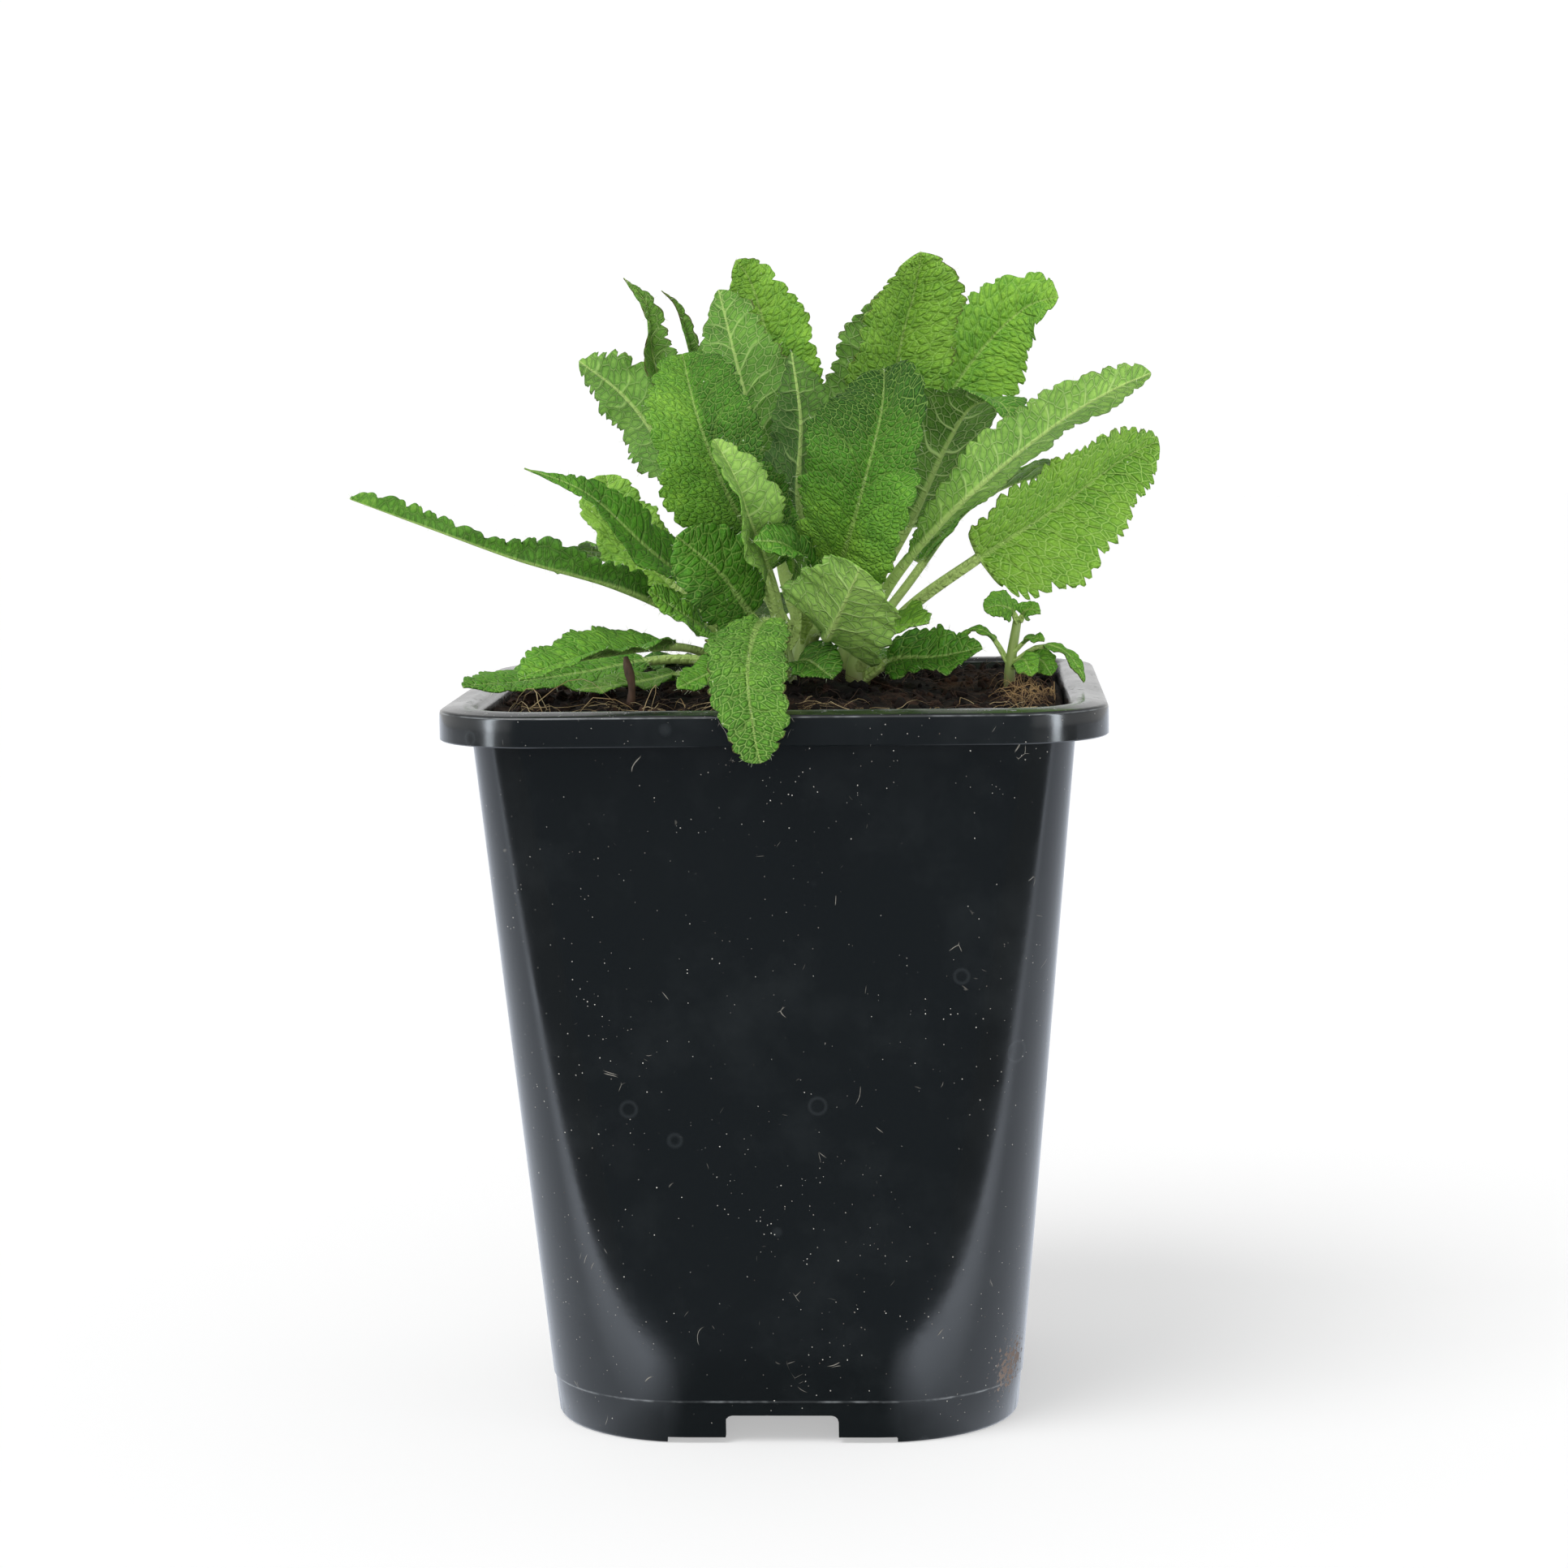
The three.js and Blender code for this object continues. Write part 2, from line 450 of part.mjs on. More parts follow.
// The leaves, each from the shoot that carries it. "up" is how high on the shoot the stalk
// starts, and "path" is the midrib from there to the tip.
const LEAVES = {
  // Low leaves that spread to the left.
  left_long: {
    shoot: "west", up: 130.8,
    path: [
      [-15.5, -10.5, 136.6], [-26.5, -24, 143], [-41, -38, 148.5],
      [-55.5, -50, 155], [-65.5, -58, 159.5],
    ],
    faces: [[0, 0.3, 1], [0, 0.2, 1], [-0.2, 0.3, 0.9]],
    half: 4.5, teeth: 11, blade: 0.27, fold: 48, tip: 0.45, wave: 1, waves: 3, base: 0.3,
    waist: [0.64, 0.55], color: "deep",
  },
  left_lance: {
    shoot: "west", up: 132.6,
    path: [[-13.5, -8, 140.5], [-22, -15, 148.5], [-32, -21, 158.5], [-41.5, -26, 163]],
    faces: [[0.3, -0.62, 0.72], [0.3, -0.6, 0.74]],
    half: 6, teeth: 9, blade: 0.3, fold: 18, tip: 1.4, color: "deep",
  },
  left_oval: {
    shoot: "north_west", up: 131,
    path: [[-14.5, 4.5, 137], [-23.5, 4, 145], [-29.5, 6, 153], [-31.5, 10, 160.5]],
    faces: [[0.3, -0.6, 0.7], [0.3, -0.9, 0.3]],
    half: 6.5, teeth: 8, blade: 0.4, tip: 0.45, color: "deep",
  },
  left_face: {
    shoot: "south", up: 129,
    path: [[-5, -15, 137.5], [-9.5, -23, 145], [-16, -29, 151.5]],
    faces: [[-0.1, -0.8, 0.6], [-0.2, -0.9, 0.4]],
    half: 7.5, teeth: 8, blade: 0.32, fold: 10, tip: 0.5, color: "deep",
  },
  left_small: {
    shoot: "west", up: 129,
    path: [[-12.3, -14.5, 134.6], [-21.5, -22.5, 142]],
    faces: [[0, -0.5, 1], [0, -0.7, 0.7]], half: 4.4, teeth: 6, blade: 0.38, color: "bright",
  },
  left_low: {
    shoot: "west", up: 127.5,
    path: [[-16, -17.5, 132.3], [-26, -32, 132.6], [-34.5, -42, 131.5], [-40.5, -48, 129.5]],
    faces: [[0, -0.2, 1], [0, -0.4, 1]], half: 6.3, teeth: 10, blade: 0.4, fold: 25, color: "bright",
  },
  left_rim: {
    shoot: "west", up: 128.4,
    path: [[-20.5, -2.5, 129], [-33, -9.5, 127.4], [-43.5, -18, 126.5], [-52.5, -27, 126.6]],
    faces: [[0, -0.35, 0.94], [0, -0.3, 0.95]],
    half: 7, teeth: 10, blade: 0.3, fold: 4, color: "bright",
  },
  left_soil: {
    shoot: "west", up: 126.5,
    path: [[-15, -8.5, 127], [-25.5, -15.5, 125.8], [-33.5, -21.5, 125.3]],
    faces: [[0, -0.4, 1], [0, -0.4, 1]], half: 3.2, teeth: 7, blade: 0.4, color: "pale",
  },
  left_under: {
    shoot: "north_west", up: 126.5,
    path: [[-15, 7.5, 128], [-23, 8.5, 126.8], [-31, 8.5, 126]],
    faces: [[0, -0.2, 1], [0, -0.2, 1]], half: 4, teeth: 6, blade: 0.4, color: "deep",
  },
  // Leaves at the front.
  front_droop: {
    shoot: "south", up: 127,
    path: [
      [0, -24, 136.3], [-2.2, -42, 137], [-3, -56, 130.5],
      [-1.8, -61.4, 122], [-0.8, -62.7, 117.2],
    ],
    faces: [[0, -0.5, 1], [0, -1, 0.5]],
    half: 6.2, teeth: 11, blade: 0.42, fold: 6, tip: 0.45, base: 0.5, color: "deep",
  },
  front_under: {
    shoot: "centre", up: 129,
    path: [
      [6.4, -14, 134.4], [8, -21, 134.8], [8.8, -27, 134.4],
      [11.6, -34, 139.8], [14.7, -41, 146.6],
    ],
    faces: [[0.45, 0.55, 0.7], [0.5, 0.6, 0.6]],
    half: 9.4, teeth: 8, blade: 0.55, fold: 8, base: 0.3, tip: 0.5, lobes: 0.3, color: "pale",
  },
  front_small: {
    shoot: "south", up: 125,
    path: [[-5.5, -20, 129], [-9.5, -27, 129], [-16, -33, 126.5]],
    faces: [[-0.2, -0.6, 0.8], [-0.2, -0.8, 0.6]], half: 3.8, teeth: 6, blade: 0.4, color: "deep",
  },
  front_soil: {
    shoot: "south", up: 126,
    path: [[4.5, -19, 129.8], [9.5, -28, 127.5]],
    faces: [[0, -0.8, 0.6], [0, -0.6, 0.8]], half: 5, teeth: 6, blade: 0.3, color: "deep",
  },
  front_wavy: {
    shoot: "centre", up: 130.5,
    path: [[4.6, -12, 139.5], [3.5, -23, 147.5], [1, -30.5, 150.3], [-3, -34, 150.8]],
    faces: [[0, -0.9, 0.4], [0, -0.9, 0.5]], half: 4, teeth: 6, blade: 0.5, wave: 0.8, color: "bright",
  },
  front_twisted: {
    shoot: "south", up: 130,
    path: [[-0.3, -17, 140], [-2.2, -25, 148.5], [-4.2, -30, 155], [-6, -32.5, 161], [-9.5, -31, 167.5]],
    faces: [[0.4, -0.8, 0.2], [0.7, -0.7, 0], [0.7, -0.6, 0.3]],
    half: 6, teeth: 8, blade: 0.42, fold: 32, wave: 0.9, stalk: 1, color: "pale",
  },
  front_spear: {
    shoot: "south", up: 130,
    path: [[2.8, -10.6, 134], [2.9, -11.4, 139.5], [2.3, -12.8, 150], [1.2, -14.5, 158.5]],
    faces: [[0, -1, 0], [0, -1, 0]], half: 1.6, teeth: 4, blade: 0.5, stalk: 0.7, color: "pale",
  },
  front_big: {
    shoot: "centre", up: 132,
    path: [
      [9.2, -10, 142], [12.8, -21.5, 152], [16, -27, 163],
      [18.3, -27, 172.6], [18.6, -22.5, 178.6],
    ],
    faces: [[-0.3, -0.9, 0.2], [-0.35, -0.93, 0]],
    half: 10.5, teeth: 11, blade: 0.28, fold: 18, tip: 0.4, color: "deep",
  },
  front_keel: {
    shoot: "centre", up: 133.3,
    path: [[4.8, -5.5, 145], [3.4, -10, 157], [4, -11, 170], [2.5, -8, 181.5]],
    faces: [[-0.1, 1, 0.1], [0.1, 1, 0.1]],
    half: 8.5, teeth: 10, blade: 0.3, fold: 42, tip: 0.7, color: "pale",
  },
  front_left: {
    shoot: "south", up: 133,
    path: [
      [-2, -11.5, 142], [-5, -16.5, 151], [-9.5, -22, 161.5],
      [-13, -23, 172], [-15.5, -18, 181.5],
    ],
    faces: [[0.1, -0.95, 0.2], [0.15, -0.95, 0.1]],
    half: 9.5, teeth: 12, blade: 0.22, fold: 18, tip: 0.42, stalk: 1, color: "bright",
  },
  // Upright leaves in the middle and at the back.
  top_veined: {
    shoot: "centre", up: 132,
    path: [[0.8, 0.5, 141], [-1, 0.8, 151], [-3.5, 0, 165], [-7, 0, 178.5], [-10.5, 3, 192.5]],
    faces: [[0.3, 0.95, 0], [0.35, 0.94, 0]], half: 9, teeth: 12, blade: 0.35, fold: 18, color: "pale",
  },
  top_left: {
    shoot: "north", up: 133,
    path: [[0.8, 9.5, 151], [-0.4, 9.5, 169], [-2.6, 9.5, 184], [-5.4, 8.5, 194], [-7.6, 6, 197.6]],
    faces: [[0.1, -0.95, 0.2], [0.1, -0.95, 0.2]],
    half: 7.8, teeth: 12, blade: 0.4, fold: 10, color: "bright",
  },
  top_narrow: {
    shoot: "north_west", up: 133.5,
    path: [[-11, 11.5, 148], [-19, 17, 165], [-23.5, 18, 181], [-24.5, 16, 190.5], [-28, 14, 195]],
    faces: [[0.5, -0.8, 0], [0.6, -0.8, 0]],
    half: 5.5, teeth: 11, blade: 0.4, fold: 48, tip: 1, wave: 1, waves: 3, color: "pale",
  },
  top_curled: {
    shoot: "north", up: 130.5,
    path: [
      [-2.5, 10.5, 138], [-6, 12, 147], [-13, 14, 168],
      [-17, 15, 184], [-18.5, 13, 190], [-21, 10.5, 192.6],
    ],
    faces: [[0.5, -0.8, 0], [0.6, -0.8, 0]],
    half: 3.6, teeth: 10, blade: 0.45, fold: 55, tip: 1.1, color: "pale",
  },
  left_pale: {
    shoot: "north_west", up: 131,
    path: [[-11, 15, 140], [-17, 22, 155], [-23.5, 26, 166.5], [-30, 29, 174.5], [-38, 32, 180.6]],
    faces: [[0, 1, 0.2], [0.2, 1, 0.3]],
    half: 6.6, teeth: 10, blade: 0.56, fold: 18, wave: 1, color: "pale",
  },
  top_right: {
    shoot: "north_east", up: 133.5,
    path: [[14, 9, 151], [18, 10, 170], [21, 8, 184], [23.5, 6, 193], [24.5, 3, 198.4]],
    faces: [[0.4, -0.9, 0.1], [0.4, -0.9, 0.1]],
    half: 9.5, teeth: 12, blade: 0.4, fold: 22, tip: 0.4, color: "deep",
  },
  top_back: {
    shoot: "north", up: 130,
    path: [[5.6, 13.5, 139], [9, 18, 150], [12.5, 22, 166], [17, 23, 182], [20.5, 21, 193]],
    faces: [[0, 1, 0.2], [-0.2, 1, 0.2]], half: 8.2, teeth: 12, blade: 0.4, fold: 12, color: "pale",
  },
  top_far_right: {
    shoot: "north_east", up: 129.5,
    path: [[16.5, 12, 143], [27, 20, 170], [35.5, 19, 182.3], [43, 15, 189], [48.2, 11, 190.6]],
    faces: [[0.1, -0.95, 0.2], [0, -0.95, 0.4]],
    half: 9, teeth: 12, blade: 0.35, fold: 10, tip: 0.5, color: "bright",
  },
  // Leaves that spread to the right.
  right_shadow: {
    shoot: "east", up: 130.8,
    path: [
      [16, -6.5, 141], [23, -11, 154], [29, -13, 166.5],
      [33, -16.5, 172.3], [37.5, -23, 172.8], [40.5, -27, 168.5],
    ],
    faces: [[-0.3, 0.9, 0.2], [-0.3, 0.9, 0.3], [0.2, -0.2, 1]],
    half: 8, teeth: 10, blade: 0.38, fold: 12, color: "pale",
  },
  right_long: {
    shoot: "east", up: 129,
    path: [[18, -14, 141], [30, -25, 155.5], [47.5, -33, 170], [57, -36, 175.5], [62, -37, 177.5]],
    faces: [[-0.3, 0.87, 0.4], [-0.3, 0.87, 0.4]],
    half: 4.4, teeth: 12, blade: 0.3, fold: 32, tip: 0.42, base: 0.95, color: "pale",
  },
  right_fan: {
    shoot: "east", up: 127,
    path: [[21.5, -5, 137], [34, -5.5, 146], [48.5, 0, 155], [60, 5, 163], [65.5, 7.5, 165.5]],
    faces: [[0.2, -0.9, -0.2], [0.27, -0.88, -0.39]],
    half: 11.5, teeth: 13, blade: 0.42, fold: 28, base: 0.28, tip: 0.6, color: "bright",
  },
  right_small: {
    shoot: "east", up: 126.5,
    path: [[17, -15, 134], [25.5, -25, 136.5]],
    faces: [[0.1, -0.6, 0.8], [0.2, -0.7, 0.7]], half: 5.4, teeth: 5, blade: 0.35, color: "bright",
  },
  right_soil: {
    shoot: "east", up: 125,
    path: [[19.5, -10, 129], [27, -13, 129.7], [34.5, -15, 131.3]],
    faces: [[0, -0.8, 0.6], [0, -0.6, 0.8]],
    half: 5.5, teeth: 8, blade: 0.3, fold: 18, wave: 0.8, color: "deep",
  },
  // Leaves behind, which round off the plant.
  back_left: {
    shoot: "north_west", up: 128.6,
    path: [[-12.5, 20, 136], [-24, 32, 143], [-36, 43, 144], [-45, 51, 141]],
    faces: [[0, 0.3, 1], [-0.2, 0.2, 1]], half: 9, teeth: 10, blade: 0.35, color: "bright",
  },
  back_middle: {
    shoot: "north", up: 128.4,
    path: [[6.5, 21, 139], [13, 34, 150], [18, 46, 154.5], [22, 56, 152.5]],
    faces: [[0, -0.5, 1], [0, 0.1, 1]], half: 9, teeth: 11, blade: 0.35, color: "deep",
  },
  back_right: {
    shoot: "north_east", up: 127.5,
    path: [[20.5, 14, 139.5], [33, 24, 154], [46, 31, 159], [58, 37, 157]],
    faces: [[-0.3, 0, 1], [0, 0.2, 1]], half: 8.5, teeth: 11, blade: 0.35, color: "bright",
  },
  back_droop: {
    shoot: "north", up: 127,
    path: [[-2.5, 24, 136], [-6.5, 42, 136.5], [-9, 56, 130.5], [-9.5, 61.5, 123], [-9.5, 63, 118]],
    faces: [[0, 0.3, 1], [0, 1, 0.5]], half: 7, teeth: 11, blade: 0.4, tip: 0.5, color: "deep",
  },
  back_soil: {
    shoot: "north_east", up: 125.5,
    path: [[19, 16, 127.6], [30, 27, 126.6]],
    faces: [[0, 0, 1], [0, 0, 1]], half: 5, teeth: 7, blade: 0.3, color: "deep",
  },
};

const shootPoint = (name, up) => [SHOOTS[name].x, SHOOTS[name].y, up];

function leafOf(name, trim) {
  const { shoot, up, path, ...shape } = LEAVES[name];
  const solid = leafSolid({ path: [shootPoint(shoot, up), ...path], ...shape });
  return meshOf("leaf_" + name, largestBody(solid.subtract(trim)), MATERIALS[shape.color]());
}

// ---- Side shoot and twig ------------------------------------------------------------------

// A round stem along its path, thinner towards its end. "extra" swells it all round.
function stemSolid({ path, radius, end }, extra) {
  const sides = 7;
  const curve = new THREE.CatmullRomCurve3(path.map(vec));
  const steps = 3 * (path.length - 1);
  const rings = [];
  for (let i = 0; i <= steps; i++) {
    const t = i / steps;
    const along = curve.getTangentAt(t);
    const right = new THREE.Vector3(0, 1, 0).cross(along).normalize();
    const up = new THREE.Vector3().crossVectors(along, right);
    const r = mix(radius, end, t) + extra;
    const at = curve.getPointAt(t);
    rings.push(
      Array.from({ length: sides }, (_, k) => {
        const angle = (2 * Math.PI * k) / sides;
        const point = at.clone().addScaledVector(right, r * Math.cos(angle));
        return point.addScaledVector(up, r * Math.sin(angle));
      }),
    );
  }
  return loft(rings);
}

// Small leaves of the side shoot. Their stalks begin inside its stem.
const SIDE_LEAVES = [
  {
    path: [[40.6, -11, 135.4], [39.4, -12.6, 137.6], [37, -14.3, 138.4], [34.9, -15.4, 137.8]],
    faces: [[0.1, -0.8, 0.55], [-0.1, -0.9, 0.4]], half: 2.6, blade: 0.25, base: 0.35, tip: 0.5,
  },
  {
    path: [[40.9, -11, 135.6], [42, -12.6, 137.4], [43.2, -13.6, 137.6], [44.4, -14.4, 137]],
    faces: [[0.1, -0.8, 0.55], [0.2, -0.9, 0.4]], half: 1.8, blade: 0.25, base: 0.35, tip: 0.9,
  },
  {
    path: [[39.5, -10, 130], [42.3, -12, 132.6], [45, -14, 132.4]],
    faces: [[0, -0.4, 1], [0, -0.4, 1]], half: 1.6,
  },
  {
    path: [
      [39.4, -10, 128.4], [44, -12.5, 131.4], [48.3, -15, 130.6],
      [51, -17, 127.2], [51.6, -18, 125.6],
    ],
    faces: [[0, -0.2, 1], [0.6, -0.6, 0.5]], half: 1.5,
  },
  {
    path: [[39.3, -10, 127.6], [41.5, -15, 129.2], [42.8, -18.5, 126.8]],
    faces: [[0, -0.7, 0.7], [0, -0.9, 0.4]], half: 2.3,
  },
  {
    path: [[39.4, -10, 127.6], [44.2, -12.5, 129], [46.2, -15, 126.6]],
    faces: [[0, -0.7, 0.7], [0, -0.9, 0.4]], half: 2.3,
  },
  {
    path: [[39.2, -10, 128], [36, -9.5, 133], [32.8, -9, 134], [30.6, -9.5, 132.6]],
    faces: [[0, -0.3, 1], [0, -0.3, 1]], half: 1.2,
  },
];

function sideShootSolid() {
  const small = { teeth: 3, blade: 0.45, stalk: 0.55, wave: 0, fold: 8 };
  const leaves = SIDE_LEAVES.map((leaf) => leafSolid({ ...small, ...leaf }));
  return wasm.Manifold.union([stemSolid(SIDE_STEM, 0), ...leaves]);
}

// ---- The whole plant ----------------------------------------------------------------------

const crownTrim = crownSolid(GAP);
const holes = wasm.Manifold.union([crownTrim, stemSolid(SIDE_STEM, GAP), stemSolid(TWIG, GAP)]);
const salvia = new THREE.Group();
salvia.add(meshOf("pot", potSolid(), MATERIALS.pot()));
salvia.add(meshOf("soil", soilSolid().subtract(holes), MATERIALS.soil()));
salvia.add(meshOf("crown", crownSolid(0), MATERIALS.crown()));
salvia.add(meshOf("side_shoot", sideShootSolid(), MATERIALS.bright()));
salvia.add(meshOf("twig", stemSolid(TWIG, 0), MATERIALS.twig()));
for (const name of Object.keys(LEAVES)) salvia.add(leafOf(name, crownTrim));

export default salvia;
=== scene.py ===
import math
from functools import partial

import bmesh
import bpy
import numpy as np
from mathutils import Matrix, Vector, noise


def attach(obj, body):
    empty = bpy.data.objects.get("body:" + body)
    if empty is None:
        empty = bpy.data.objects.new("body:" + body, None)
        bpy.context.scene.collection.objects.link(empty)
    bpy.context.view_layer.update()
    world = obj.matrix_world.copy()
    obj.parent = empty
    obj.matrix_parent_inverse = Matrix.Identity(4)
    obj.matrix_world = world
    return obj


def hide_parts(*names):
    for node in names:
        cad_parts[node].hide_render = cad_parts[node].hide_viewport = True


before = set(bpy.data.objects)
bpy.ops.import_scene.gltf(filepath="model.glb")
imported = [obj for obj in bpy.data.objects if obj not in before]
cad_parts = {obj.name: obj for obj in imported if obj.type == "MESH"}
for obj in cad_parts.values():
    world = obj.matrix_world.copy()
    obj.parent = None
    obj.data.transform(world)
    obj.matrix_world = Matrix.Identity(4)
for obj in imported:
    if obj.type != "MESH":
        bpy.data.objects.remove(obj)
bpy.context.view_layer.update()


# ---- The pot ------------------------------------------------------------------------------
# A square nursery pot, injection moulded in one shot from recycled black polypropylene.
# It is drawn as levels of a square whose corners grow rounder towards the foot, and the
# drain notches and holes are cut through afterwards. It carries everything else.

MM = 0.001
RIM_HALF, RIM_CORNER, RIM_TOP, RIM_UNDER = 55, 17.5, 124.5, 119
TOP_HALF, TOP_CORNER = 49.3, 11
BASE_HALF, BASE_CORNER = 39.8, 24
WALL = 1.3
FOOT_RECESS = 5.4
FLOOR_TOP = FOOT_RECESS + WALL
MOULD_LINE = 7.2
NOTCH = (19, 4.9)
NOTCH_STEP = (38.7, 1.07)
DRAIN_HOLE_RADIUS, DRAIN_RING_RADIUS = 4.5, 22
ARC_STEPS, FLAT_STEPS = 14, 30


def square_ring(half, corner, z):
    """One level of the pot, anticlockwise: a square with round corners, in millimetres."""
    arc = np.linspace(-math.pi / 4, math.pi / 4, ARC_STEPS + 1)
    corners = []
    for quarter in range(4):
        turn = quarter * math.pi / 2 + math.pi / 4
        reach = (half - corner) * math.sqrt(2)
        x = reach * math.cos(turn) + corner * np.cos(turn + arc)
        y = reach * math.sin(turn) + corner * np.sin(turn + arc)
        corners.append(np.column_stack([x, y]))
    ring = []
    for quarter, corner_points in enumerate(corners):
        start, end = corner_points[-1], corners[(quarter + 1) % 4][0]
        share = np.linspace(0, 1, FLAT_STEPS + 2)[1:-1, None]
        ring += [corner_points, start + (end - start) * share]
    ring = np.vstack(ring)
    return np.column_stack([ring, np.full(len(ring), float(z))])


def wall_ring(z, inset=0.0):
    """The wall's level at a height, moved in by a distance."""
    t = z / RIM_UNDER
    half = BASE_HALF + (TOP_HALF - BASE_HALF) * t
    corner = BASE_CORNER + (TOP_CORNER - BASE_CORNER) * t
    return square_ring(half - inset, corner - inset, z)


def mesh_of(bm):
    """Turns a bmesh into a mesh."""
    mesh = bpy.data.meshes.new("mesh")
    bm.to_mesh(mesh)
    bm.free()
    return mesh


def skin(rings, values=None):
    """A mesh that runs through rings of points, closed round and capped at both ends.
    "values" holds one vector for each point under the name of its attribute."""
    rows, around = rings.shape[:2]
    bm = bmesh.new()
    layers = {name: bm.verts.layers.float_vector.new(name) for name in values or {}}
    bmesh.ops.create_grid(bm, x_segments=around, y_segments=rows - 1, size=0.5)
    places = (rings * MM).tolist()
    listed = {name: value.tolist() for name, value in (values or {}).items()}
    for vert in bm.verts:
        row = round((vert.co.y + 0.5) * (rows - 1))
        column = round((vert.co.x + 0.5) * around) % around
        vert.co = places[row][column]
        for name, layer in layers.items():
            vert[layer] = listed[name][row][column]
    bmesh.ops.remove_doubles(bm, verts=bm.verts, dist=1e-8)
    bmesh.ops.holes_fill(bm, edges=[e for e in bm.edges if e.is_boundary], sides=0)
    bmesh.ops.recalc_face_normals(bm, faces=bm.faces)
    return mesh_of(bm)


def put(name, data):
    """Puts a mesh, curve, lamp or camera in the scene as an object."""
    made = bpy.data.objects.new(name, data)
    bpy.context.scene.collection.objects.link(made)
    return made


def finished(made):
    """The mesh of an object once its modifiers or its bevel have been worked out."""
    return bpy.data.meshes.new_from_object(made.evaluated_get(bpy.context.evaluated_depsgraph_get()))


def piece(name, mesh, material, slot, *nodes):
    """Makes a mesh a smooth object that rides on the plant and stands for its CAD nodes."""
    mesh.name = name
    mesh.polygons.foreach_set("use_smooth", [True] * len(mesh.polygons))
    mesh.materials.append(material)
    made = put(name, mesh)
    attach(made, "root")
    if nodes:
        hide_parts(*nodes)
    return made


def hex_color(code):
    """An sRGB colour such as "#8ABE40" as the linear colour that a shader takes."""
    parts = [int(code[i : i + 2], 16) / 255 for i in (1, 3, 5)]
    linear = [p / 12.92 if p <= 0.04045 else ((p + 0.055) / 1.055) ** 2.4 for p in parts]
    return (*linear, 1.0)


def set_inputs(node, inputs):
    """Sets a node's inputs: a list in the sockets' order, or values by name or number. A value
    may be a number, a vector, a hex colour, a socket, or a node for its first output in use."""
    for key, value in inputs.items() if isinstance(inputs, dict) else enumerate(inputs):
        if isinstance(value, bpy.types.Node):
            value = next(out for out in value.outputs if out.enabled)
        if isinstance(value, bpy.types.NodeSocket):
            node.id_data.links.new(value, node.inputs[key])
        elif isinstance(value, str) and value.startswith("#"):
            node.inputs[key].default_value = hex_color(value)
        else:
            node.inputs[key].default_value = value


def add_node(tree, kind, inputs=(), **settings):
    """Adds a node with its settings and inputs. "Math" is short for ShaderNodeMath."""
    made = tree.nodes.new(kind if "Node" in kind else "ShaderNode" + kind)
    for key, value in settings.items():
        setattr(made, key, value)
    set_inputs(made, inputs)
    return made


def new_material(name):
    """An empty material, a function that adds a node to it, and its shader."""
    made = bpy.data.materials.new(name)
    made.use_nodes = True
    return made, partial(add_node, made.node_tree), made.node_tree.nodes["Principled BSDF"]


